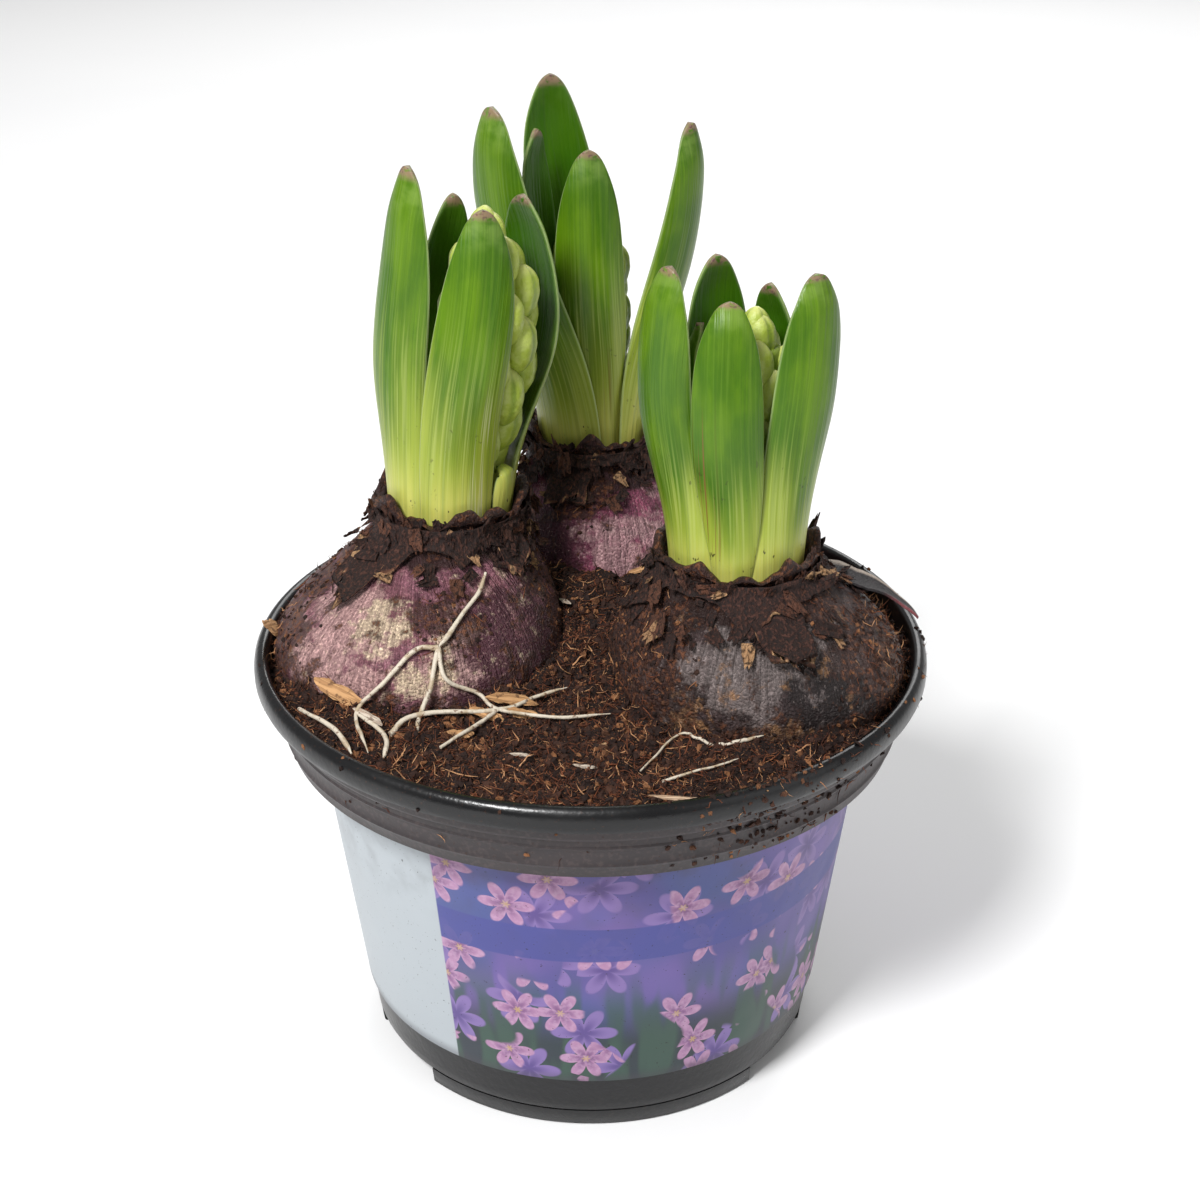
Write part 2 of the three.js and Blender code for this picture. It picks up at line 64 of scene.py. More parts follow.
def mix(a: Array | float, b: Array | float, t: Array | float) -> Array | float:
    """The value a share t of the way from a to b."""
    return a + (b - a) * t


def smooth(value: Array | float) -> Array | float:
    """A soft step from 0 to 1."""
    held = np.clip(value, 0, 1)
    return held * held * (3 - 2 * held)


def circle(count: int) -> Array:
    """Evenly spaced angles round a full turn, the first at 0."""
    return np.linspace(0, FULL_TURN, count, endpoint=False)


def wrapped(angle: Array, turn: float) -> Array:
    """An angle brought within half a turn of 0, in the unit that the full turn is given in."""
    return (angle + turn / 2) % turn - turn / 2


def in_plan(radius: Array | float, angle: Array | float, z: Array | float) -> Array:
    """Points at a radius, an angle seen from above and a height."""
    x, y, z = np.broadcast_arrays(radius * np.cos(angle), radius * np.sin(angle), z)
    return np.stack([x, y, z], -1)


def parabola(route: tuple[Array, Array, Array], t: Array) -> Array:
    """Points on the parabola through a route of three points, at 0, 1/2 and 1."""
    t = np.asarray(t)[..., None]
    start, middle, end = route
    return start * (1 - t) * (1 - 2 * t) + middle * 4 * t * (1 - t) + end * t * (2 * t - 1)


def unit(vectors: Array) -> Array:
    """The vectors at length 1."""
    return vectors / np.maximum(np.linalg.norm(vectors, axis=-1, keepdims=True), 1e-9)


def lumpiness(points: Array, size: float, seed: int = 0, octaves: int = 1) -> Array:
    """Smooth random values from -1 to 1.

    Args:
        points: places, with the coordinates last.
        size: distance between lumps, in the points' own unit.
        seed: another seed gives other lumps.
        octaves: how many times finer lumps of half the height are added.

    Returns:
        One value for each point.
    """
    total, height, reach = 0.0, 1.0, 0.0
    for octave in range(octaves):
        place = points * (2**octave / size) + 17.31 * (seed + 1) + 5.7 * octave
        cell = np.floor(place)
        part = smooth(place - cell)
        value = 0.0
        for corner in np.ndindex(2, 2, 2):
            step = np.array(corner)
            weight = np.prod(np.where(step, part, 1 - part), -1)
            mixed = np.sin((cell + step) @ np.array([127.1, 311.7, 74.7])) * 43758.5453
            value = value + weight * (mixed - np.floor(mixed))
        total = total + height * (2 * value - 1)
        reach += height
        height /= 2
    return total / reach


# Meshes


def grid_faces(rows: int, columns: int, around: bool = False) -> Array:
    """The quads of a grid of points whose rows are rings.

    Args:
        rows: how many rings.
        columns: points in a ring.
        around: whether the last ring meets the first.

    Returns:
        Four point numbers for each quad.
    """
    i = np.arange(rows if around else rows - 1)[:, None]
    j = np.arange(columns)[None, :]
    k, below = (j + 1) % columns, (i + 1) % rows
    corners = [i * columns + j, i * columns + k, below * columns + k, below * columns + j]
    return np.stack(corners, -1).reshape(-1, 4)


@dataclass
class Body:
    """A mesh in the making: points, faces, or edges in their place, and values kept on the points."""

    points: Array
    faces: list
    marks: dict[str, Array] = field(default_factory=dict)

    def outward(self) -> "Body":
        """The closed body with its faces turned to point out."""
        corners = np.array([(face[0], face[1], face[2], face[-1]) for face in self.faces])
        a, b, c, d = (self.points[corners[:, i]] for i in range(4))
        if (a * (np.cross(b, c) + np.cross(c, d))).sum() < 0:
            self.faces = [face[::-1] for face in self.faces]
        return self

    def made(self, name: str, material: Material | None = None, soft: bool = True) -> Object:
        """The body as an object in the scene.

        Args:
            name: the object's name.
            material: its finish.
            soft: whether the faces are shaded as one smooth surface.

        Returns:
            The object, at the origin.
        """
        mesh = bpy.data.meshes.new(name)
        edges = [face for face in self.faces if len(face) == 2]
        mesh.from_pydata((self.points * MM).tolist(), edges, [] if edges else self.faces)
        for key, values in self.marks.items():
            kind = "INT" if values.dtype.kind == "i" else "FLOAT" if values.ndim == 1 else "FLOAT_VECTOR"
            mark = mesh.attributes.new(key, kind, "POINT")
            flat = values.ravel() if kind == "INT" else values.astype(np.float32).ravel()
            mark.data.foreach_set("vector" if kind == "FLOAT_VECTOR" else "value", flat)
        mesh.polygons.foreach_set("use_smooth", [soft] * len(mesh.polygons))
        if material:
            mesh.materials.append(material)
        made = bpy.data.objects.new(name, mesh)
        bpy.context.scene.collection.objects.link(made)
        return made


def tube(rings: Array, marks: dict[str, Array] | None = None, ends: tuple = (None, None)) -> Body:
    """A closed body over rings of points.

    Args:
        rings: ring, point and coordinate.
        marks: values for the points, ring by ring.
        ends: the points that close the first and the last ring, or None for the ring's middle.

    Returns:
        The body, with its faces outwards.
    """
    rows, columns = rings.shape[:2]
    caps = [rings[0].mean(0), rings[-1].mean(0)]
    caps = [cap if end is None else np.asarray(end, float) for cap, end in zip(caps, ends)]
    points = np.concatenate([rings.reshape(-1, 3), caps])
    first, last = rows * columns, rows * columns + 1
    faces = grid_faces(rows, columns).tolist()
    top = (rows - 1) * columns
    for j in range(columns):
        k = (j + 1) % columns
        faces.append([k, j, first])
        faces.append([top + j, top + k, last])
    kept = {}
    for key, values in (marks or {}).items():
        flat = values.reshape(rows * columns, *values.shape[2:])
        kept[key] = np.concatenate([flat, values[0].mean(0)[None], values[-1].mean(0)[None]])
    return Body(points, faces, kept).outward()


def joined(bodies: list[Body]) -> Body:
    """Several bodies as one."""
    starts = np.cumsum([0] + [len(body.points) for body in bodies])
    faces = [[int(i + start) for i in face] for body, start in zip(bodies, starts) for face in body.faces]
    marks = {key: np.concatenate([body.marks[key] for body in bodies]) for key in bodies[0].marks}
    return Body(np.concatenate([body.points for body in bodies]), faces, marks)


# Node trees


def linear(code: str) -> tuple[float, float, float, float]:
    """An sRGB hex colour as the linear values that the shaders take."""
    parts = [int(code[i : i + 2], 16) / 255 for i in (1, 3, 5)]
    return (*[p / 12.92 if p <= 0.04045 else ((p + 0.055) / 1.055) ** 2.4 for p in parts], 1.0)


def put(tree: Tree, kind: str, inputs: dict | None = None, **settings) -> Node:
    """Adds a node.

    Args:
        tree: where it goes.
        kind: its Blender type.
        inputs: values or feeding sockets, by the input's name or index.
        settings: the node's own settings.

    Returns:
        The node.
    """
    node = tree.nodes.new(kind)
    for key, value in settings.items():
        setattr(node, key, value)
    for key, value in (inputs or {}).items():
        if isinstance(value, Socket):
            tree.links.new(value, node.inputs[key])
        else:
            node.inputs[key].default_value = value
    return node


def mark(tree: Tree, name: str, output: str = "Fac") -> Socket:
    """A value or vector that the mesh keeps on its points."""
    return put(tree, "ShaderNodeAttribute", attribute_name=name).outputs[output]


def maths(tree: Tree, operation: str, *values: Socket | float) -> Socket:
    """The result of a maths node on sockets and numbers."""
    return put(tree, "ShaderNodeMath", dict(enumerate(values)), operation=operation).outputs[0]


def ramp(tree: Tree, value: Socket, low: float, high: float) -> Socket:
    """0 below low, 1 above high and a soft step between, or the other way round where low is higher."""
    limits = {"Value": value, "From Min": low, "From Max": high}
    return put(tree, "ShaderNodeMapRange", limits, interpolation_type="SMOOTHSTEP").outputs[0]


def noise(
    tree: Tree, where: Socket, size: float, shift: float = 0.0, stretch: tuple = (1, 1, 1), **inputs: float
) -> Socket:
    """Smooth noise.

    Args:
        tree: the material's tree.
        where: the coordinates.
        size: rough distance between lumps, in the coordinates' own unit.
        shift: moves the pattern.
        stretch: how many times longer the lumps are along each axis.
        inputs: the noise node's other values.

    Returns:
        Values from 0 to 1.
    """
    scale = tuple(1 / s for s in stretch)
    moved = put(tree, "ShaderNodeMapping", {"Vector": where, "Location": (shift,) * 3, "Scale": scale})
    inputs = {"Vector": moved.outputs[0], "Scale": 1 / size, **inputs}
    return put(tree, "ShaderNodeTexNoise", inputs).outputs[0]


def patches(
    tree: Tree,
    where: Socket,
    size: float,
    low: float,
    high: float,
    stretch: tuple[float, float, float] = (1, 1, 1),
    shift: float = 0.0,
    detail: float = 3.0,
) -> Socket:
    """A mask of random patches.

    Args:
        tree: the material's tree.
        where: the coordinates, in metres or as kept on the mesh in millimetres.
        size: rough distance between patches, in the same unit.
        low: noise below this gives 0.
        high: noise above this gives 1.
        stretch: how many times longer the patches are along each axis.
        shift: moves the pattern, so that two masks differ.
        detail: how much finer structure is added.

    Returns:
        The mask.
    """
    return ramp(tree, noise(tree, where, size, shift, stretch, Detail=detail), low, high)


def frayed(
    tree: Tree, zone: Socket, where: Socket, size: float, width: float = 0.5, shift: float = 0.0
) -> Socket:
    """A zone's mask with a torn, speckled edge.

    Args:
        tree: the material's tree.
        zone: 0 outside and 1 inside, with a soft edge.
        where: the coordinates, in metres.
        size: rough size of the tears, in metres.
        width: how far the tears reach into the zone and out of it.
        shift: moves the pattern, so that two masks differ.

    Returns:
        The mask.
    """
    speckle = noise(tree, where, size, shift, Detail=8.0, Roughness=0.68)
    inputs = {"Value": speckle, "From Min": 0.3, "From Max": 0.7, "To Min": -width, "To Max": width}
    tears = put(tree, "ShaderNodeMapRange", inputs, clamp=False).outputs[0]
    return ramp(tree, maths(tree, "ADD", zone, tears), 0.22, 0.78)


def coats(tree: Tree, ground: str | Socket, *layers: tuple) -> Socket:
    """Lays coats of colour over a ground.

    Args:
        tree: the material's tree.
        ground: a hex colour or a colour socket.
        layers: each a mask, a hex colour or colour socket, and perhaps the mask's strength.

    Returns:
        The colour.
    """
    colour = ground
    for mask, paint, *strength in layers:
        mask = product(tree, mask, *strength)
        under, over = (linear(c) if isinstance(c, str) else c for c in (colour, paint))
        colour = put(tree, "ShaderNodeMix", {0: mask, 6: under, 7: over}, data_type="RGBA").outputs[2]
    return colour


def product(tree: Tree, *values: Socket | float) -> Socket:
    """The product of sockets and numbers."""
    total = values[0]
    for value in values[1:]:
        total = maths(tree, "MULTIPLY", total, value)
    return total


@dataclass(frozen=True)
class Finish:
    """A material and its shader. A subclass paints it."""

    name: str
    roughness: float = 0.5
    ior: float = 1.45

    def made(self) -> Material:
        """The material, painted."""
        material = bpy.data.materials.new(self.name)
        material.use_nodes = True
        tree = material.node_tree
        tree.nodes.clear()
        shader = put(tree, "ShaderNodeBsdfPrincipled", {"Roughness": self.roughness, "IOR": self.ior})
        put(tree, "ShaderNodeOutputMaterial", {"Surface": shader.outputs[0]})
        colour, height, depth = self.paint(tree, shader)
        tree.links.new(colour, shader.inputs["Base Color"])
        if height:
            bump = put(tree, "ShaderNodeBump", {"Height": height, "Distance": depth * MM, "Strength": 1.0})
            tree.links.new(bump.outputs[0], shader.inputs["Normal"])
        return material

    def paint(self, tree: Tree, shader: Node) -> Look:
        """Adds the finish's own nodes.

        Args:
            tree: the material's tree.
            shader: its shader, for what isn't colour or relief.

        Returns:
            The colour, the relief's height from 0 to 1 or None, and its depth in millimetres.
        """
        raise NotImplementedError

    def flesh(self, shader: Node, weight: float, radius: tuple[float, float, float]) -> None:
        """Lets light about a millimetre into the surface."""
        shader.inputs["Subsurface Weight"].default_value = weight
        shader.inputs["Subsurface Radius"].default_value = radius
        shader.inputs["Subsurface Scale"].default_value = 1.0 * MM

    def place(self, tree: Tree) -> Socket:
        """Coordinates of the object, which are metres in the row frame."""
        return put(tree, "ShaderNodeTexCoord").outputs["Object"]


# Finishes of the plants


@dataclass(frozen=True)
class WaxyLeaf(Finish):
    """Living hyacinth leaf: a smooth waxy skin over flesh, so soft broad highlights and fine veins."""

    name: str = "waxy_leaf"
    roughness: float = 0.34
    vein: float = 0.36  # width of a vein
    pale_foot: float = 0.44  # how far the yellow-green foot reaches up

    def paint(self, tree: Tree, shader: Node) -> Look:
        """Green above a yellow-green foot, lengthwise veins, a pale margin, a brown-pink apex and painted
        shade on the channel's inner face.
        """
        names = ("along", "across", "rise", "inner", "pale", "rusty")
        along, across, rise, inner, pale, rusty = (mark(tree, name) for name in names)
        blade = mark(tree, "blade", "Vector")
        edge = maths(tree, "ABSOLUTE", across)
        sway = patches(tree, blade, 2.6, 0.2, 0.8, stretch=(1, 14, 1), shift=7)
        wedge = maths(tree, "MULTIPLY_ADD", edge, -0.2, rise)
        reach = maths(tree, "MULTIPLY_ADD", sway, 0.16, wedge)
        foot = ramp(tree, reach, self.pale_foot + 0.1, self.pale_foot - 0.3)
        veins = patches(tree, blade, self.vein, 0.48, 0.7, stretch=(1, 70, 1), detail=1)
        dark_veins = patches(tree, blade, 1.3 * self.vein, 0.52, 0.7, stretch=(1, 90, 1), shift=31, detail=1)
        bands = patches(tree, blade, 2.2, 0.4, 0.66, stretch=(1, 22, 1), shift=43, detail=2)
        apex = ramp(tree, along, 0.955, 0.985)
        shoulder = product(tree, ramp(tree, along, 0.84, 0.95), patches(tree, blade, 3, 0.35, 0.65, shift=3))
        specks = product(
            tree,
            patches(tree, blade, 0.9, 0.66, 0.7, stretch=(1, 1.8, 1), shift=11, detail=3),
            ramp(tree, along, 0.6, 0.1),
            patches(tree, blade, 7, 0.46, 0.6, shift=19),
        )
        low = ramp(tree, rise, 0.75, 0.3)
        colour = coats(
            tree,
            "#3e6606",
            (patches(tree, blade, 6, 0.36, 0.66, stretch=(1, 3, 1), shift=2, detail=4), "#5c800a"),
            (bands, "#385c08", 0.3),
            (foot, "#9aa83c"),
            (ramp(tree, rise, 0.28, 0.02), "#cdc868"),
            (product(tree, low, bands), "#7f9327", 0.4),
            (product(tree, veins, low), "#c8cc7c", 0.3),
            (veins, "#7f9f34", 0.14),
            (dark_veins, "#355c0c", 0.2),
            (shoulder, "#7f9a48", 0.4),
            (ramp(tree, edge, 0.94, 0.985), "#a9bb80", 0.6),
            (product(tree, pale, veins), "#d9d8b4", 0.75),
            (product(tree, rusty, ramp(tree, dark_veins, 0.1, 0.6)), "#7c4a2e", 0.75),
            # painted shade: the inner face of the channel is darkened to a deeper green
            (inner, "#2f5c06", 0.75),
            (product(tree, apex, patches(tree, blade, 1.2, 0.36, 0.5, shift=5)), "#8f6f60", 0.8),
            (product(tree, apex, patches(tree, blade, 0.9, 0.56, 0.64, shift=25)), "#5f3a44", 0.8),
            (specks, "#2c2414", 0.9),
        )
        shader.inputs["Specular IOR Level"].default_value = 0.36
        self.flesh(shader, 0.08, (0.7, 1.0, 0.15))
        ribs = patches(tree, blade, 1.3 * self.vein, 0.2, 0.8, stretch=(1, 60, 1), shift=23, detail=1)
        return colour, ribs, 0.07


@dataclass(frozen=True)
class ScapeBud(Finish):
    """Closed flower bud: soft pale flesh that lets some light in, darker in the grooves between tepals."""

    name: str = "green_bud"
    roughness: float = 0.42

    def paint(self, tree: Tree, shader: Node) -> Look:
        """Pale yellow-green, greener in the grooves and at the foot, creamy at the tip."""
        groove, rise, tone = mark(tree, "groove"), mark(tree, "rise"), mark(tree, "tone")
        where = self.place(tree)
        colour = coats(
            tree,
            "#adbd4a",
            (tone, "#98ac36", 0.6),
            (patches(tree, where, 1.6 * MM, 0.35, 0.7), "#c0cb70", 0.6),
            (ramp(tree, groove, 0.35, 0.9), "#76902a", 0.75),
            (ramp(tree, rise, 0.35, 0.0), "#8da02a", 0.8),
            (ramp(tree, rise, 0.82, 1.0), "#d8d98c", 0.6),
        )
        self.flesh(shader, 0.12, (0.9, 1.0, 0.2))
        return colour, patches(tree, where, 0.7 * MM, 0.3, 0.7), 0.06


@dataclass(frozen=True)
class BulbColours:
    """The hex colours of one bulb's dry outer skin."""

    skin: str
    glow: str
    shade: str
    # bloom: the pale bloom colour, laid on flecks and on a zone that is partly a painted highlight
    bloom: str
    bloom_share: float
    tan: str
    tan_share: float


class BulbKind(Enum):
    """How each bulb is coloured."""

    MAUVE = BulbColours("#8f5d64", "#a06a78", "#43212b", "#dfb4ae", 0.8, "#f8e0be", 0.9)
    WINE = BulbColours("#84405a", "#b8627e", "#451f2c", "#dab4b2", 0.6, "#a88274", 0.3)
    SLATE = BulbColours("#43322f", "#574545", "#181010", "#9c8e8b", 0.62, "#b8875a", 0.8)


@dataclass(frozen=True)
class PaperyTunic(Finish):
    """Dry bulb tunic: matte paper-thin skins, mottled along the meridians, with pale bloom that is partly a
    painted highlight, tears and soil.
    """

    roughness: float = 0.52
    kind: BulbKind = BulbKind.MAUVE
    grain: float = 0.45  # finest mottling that shows in the render

    @classmethod
    def of_each_kind(cls) -> dict[BulbKind, Material]:
        """The material of each kind of bulb, painted."""
        return {kind: cls(f"tunic_{kind.name.lower()}", kind=kind).made() for kind in BulbKind}

    def paint(self, tree: Tree, shader: Node) -> Look:
        """Skin colour, pale bloom partly painted as highlight, torn layers near the neck and soil near the
        bottom.
        """
        hues = self.kind.value
        where, meridian = self.place(tree), mark(tree, "meridian", "Vector")
        grain = patches(tree, where, self.grain * MM, 0.34, 0.66, detail=5)
        fibres = patches(tree, meridian, 0.7, 0.42, 0.68, shift=3, detail=4)
        flecks = patches(tree, where, 0.6 * MM, 0.6, 0.68, shift=17, detail=3)
        crusts = patches(tree, where, 0.9 * MM, 0.5, 0.62, shift=29, detail=4)
        deep = frayed(tree, mark(tree, "deep"), where, 9 * MM, 0.7, 11)
        # the zone of pale bloom: partly real bloom on the tunic, partly a painted highlight
        pale = frayed(tree, mark(tree, "frost"), where, 6 * MM, 1.0, 5)
        tan = frayed(tree, mark(tree, "tan"), where, 3.4 * MM, 0.75, 21)
        dirt = frayed(tree, mark(tree, "soiled"), where, 4 * MM, 1.0, 8)
        colour = coats(
            tree,
            hues.skin,
            (patches(tree, where, 8 * MM, 0.4, 0.6, shift=1, detail=5), hues.glow, 0.85),
            (deep, hues.shade, 0.85),
            (patches(tree, where, 3 * MM, 0.56, 0.66, shift=13, detail=5), hues.shade, 0.6),
            # real bloom and painted highlight: the pale colour laid on the bloom zone
            (pale, hues.bloom, hues.bloom_share),
            (tan, hues.tan, hues.tan_share),
            (fibres, hues.shade, 0.4),
            (flecks, hues.bloom, 0.4),
            (grain, hues.shade, 0.55),
            (mark(tree, "layer"), "#2c1a16", 0.9),
            (dirt, "#38201a", 0.85),
            (product(tree, dirt, crusts), "#7c4c30", 0.7),
        )
        height = maths(tree, "MULTIPLY_ADD", grain, 0.8, fibres)
        return colour, maths(tree, "MULTIPLY_ADD", dirt, 0.8, height), 0.3


@dataclass(frozen=True)
class TornTunic(Finish):
    """Torn shreds of old tunic: brittle, matte, near black with tan and red-brown bits."""

    name: str = "torn_tunic"
    roughness: float = 0.85

    def paint(self, tree: Tree, shader: Node) -> Look:
        """Each shred has a tone of its own, from near black to tan."""
        tone, where = mark(tree, "tone"), self.place(tree)
        fibres = patches(tree, where, 0.5 * MM, 0.4, 0.65, stretch=(1, 1, 3), detail=4)
        colour = coats(
            tree,
            "#21120e",
            (fibres, "#4a2c22", 0.9),
            (ramp(tree, tone, 0.4, 0.65), "#643e2c", 0.8),
            (ramp(tree, tone, 0.74, 0.92), "#b08a64", 0.85),
            (patches(tree, where, 0.8 * MM, 0.52, 0.6, shift=4, detail=5), "#160b09", 0.75),
        )
        return colour, fibres, 0.25


@dataclass(frozen=True)
class PeeledFlake(Finish):
    """The sprung flake of tunic: black and dull inside, slate above, wine red along its lower edge."""

    name: str = "peeled_flake"
    roughness: float = 0.6

    def paint(self, tree: Tree, shader: Node) -> Look:
        """Coloured by where across the flake and how far along it a point lies."""
        across, along, where = mark(tree, "across"), mark(tree, "along"), self.place(tree)
        colour = coats(
            tree,
            "#161113",
            (patches(tree, where, 0.9 * MM, 0.4, 0.7, detail=5), "#2c2225", 0.8),
            (ramp(tree, across, 0.66, 0.9), "#b3a497", 0.9),
            (product(tree, ramp(tree, across, -0.35, -0.8), ramp(tree, along, 0.55, 0.85)), "#8a474b", 0.9),
            (ramp(tree, along, 0.2, 0.0), "#3c241e", 0.8),
        )
        return colour, patches(tree, where, 0.6 * MM, 0.3, 0.7), 0.12


@dataclass(frozen=True)
class FreshRoot(Finish):
    """Living root: smooth off-white, stained brown where it touches the soil."""

    name: str = "fresh_root"
    roughness: float = 0.5

    def paint(self, tree: Tree, shader: Node) -> Look:
        """Off-white with tan stains."""
        where = self.place(tree)
        colour = coats(
            tree,
            "#cfc4b2",
            (patches(tree, where, 3 * MM, 0.48, 0.62), "#ab9678", 0.8),
            (patches(tree, where, 0.9 * MM, 0.58, 0.66, shift=6, detail=4), "#6b4a34", 0.8),
        )
        return colour, patches(tree, where, 0.8 * MM, 0.3, 0.7), 0.08


# Finishes of the soil


@dataclass(frozen=True)
class PeatSoil(Finish):
    """Peat potting soil: matte, crumbly and damp, with painted shade that keeps the hollows of its relief
    very dark.
    """

    name: str = "peat_soil"
    roughness: float = 0.95

    def paint(self, tree: Tree, shader: Node) -> Look:
        """Dark brown with finer red-brown crumbs."""
        where = self.place(tree)
        # painted shade: this mask raises the crumbs and lightens them, so the hollows keep the near-black
        # ground
        fine = patches(tree, where, 0.7 * MM, 0.45, 0.64, detail=6)
        colour = coats(
            tree,
            "#170b07",
            (fine, "#64341f", 0.9),
            (patches(tree, where, 5 * MM, 0.42, 0.62, shift=2), "#1e0f0a", 0.8),
            (patches(tree, where, 0.5 * MM, 0.58, 0.66, shift=9, detail=4), "#a06a44", 0.8),
        )
        return colour, fine, 1.6


@dataclass(frozen=True)
class PeatBits(Finish):
    """Loose bits of peat, each of one tone: fibres are light and dry, crumbs dark."""

    name: str = "peat_fibre"
    roughness: float = 0.85
    dark: str = "#32180f"
    middle: str = "#7c4529"
    light: str = "#d39d70"

    @classmethod
    def crumbs(cls) -> Material:
        """The material of the crumbs, painted."""
        return cls("peat_crumb", dark="#22110b", middle="#3f2417", light="#8a5c3a").made()

    def paint(self, tree: Tree, shader: Node) -> Look:
        """Dark, middling or light by the bit's tone."""
        tone, where = mark(tree, "tone"), self.place(tree)
        colour = coats(
            tree,
            self.dark,
            (ramp(tree, tone, 0.25, 0.75), self.middle),
            (ramp(tree, tone, 0.8, 0.96), self.light),
            (patches(tree, where, 0.6 * MM, 0.5, 0.7), self.dark, 0.5),
        )
        return colour, patches(tree, where, 0.4 * MM, 0.3, 0.7), 0.1


@dataclass(frozen=True)
class BarkChip(Finish):
    """Splinters of pale bark and wood: dry, matte, with a lengthwise grain."""

    name: str = "bark_chip"
    roughness: float = 0.8

    def paint(self, tree: Tree, shader: Node) -> Look:
        """Tan to grey by tone, with darker grain lines along the splinter."""
        tone, grain_at = mark(tree, "tone"), mark(tree, "grain_at", "Vector")
        where = self.place(tree)
        lines = patches(tree, grain_at, 0.5, 0.45, 0.65, stretch=(1, 12, 1), detail=2)
        colour = coats(
            tree,
            "#cb9c6c",
            (ramp(tree, tone, 0.5, 0.9), "#cfc2b2"),
            (lines, "#8a5c38", 0.5),
            (patches(tree, where, 1.5 * MM, 0.56, 0.68), "#4a2c1a", 0.7),
        )
        return colour, lines, 0.15


# Finishes of the pot


@dataclass(frozen=True)
class BlackPlastic(Finish):
    """Moulded black polypropylene: glossy on the rolled rim, dusty and duller on the band."""

    name: str = "moulded_black_plastic"
    roughness: float = 0.3
    ior: float = 1.49
    band: tuple[float, float] = (66.5, 79.2)

    def paint(self, tree: Tree, shader: Node) -> Look:
        """Black, with a film of dry soil on the band and crumbs' dust below the rim."""
        where = self.place(tree)
        height = put(tree, "ShaderNodeSeparateXYZ", {0: where}).outputs[2]
        low, high = self.band
        on_band = product(
            tree,
            ramp(tree, height, (low - 0.4) * MM, (low + 0.4) * MM),
            ramp(tree, height, (high + 0.4) * MM, (high - 0.4) * MM),
        )
        haze = patches(tree, where, 9 * MM, 0.3, 0.7, stretch=(2, 2, 1), detail=5)
        dust = patches(tree, where, 0.9 * MM, 0.5, 0.66, shift=7, detail=5)
        specks = patches(tree, where, 0.7 * MM, 0.64, 0.69, shift=3, detail=3)
        colour = coats(
            tree,
            "#08080a",
            (on_band, "#262123", 0.9),
            (product(tree, on_band, haze), "#393132", 0.8),
            (product(tree, on_band, dust), "#4d4140", 0.45),
            (product(tree, specks, ramp(tree, height, 64 * MM, 70 * MM)), "#2c190f", 0.9),
            (product(tree, ramp(tree, height, 12 * MM, 2 * MM), dust), "#1e1a18", 0.6),
        )
        rough = put(tree, "ShaderNodeMapRange", {"Value": on_band, "To Min": 0.24, "To Max": 0.42}).outputs[0]
        tree.links.new(maths(tree, "MULTIPLY_ADD", haze, 0.14, rough), shader.inputs["Roughness"])
        return colour, patches(tree, where, 1.2 * MM, 0.3, 0.7, detail=2), 0.02


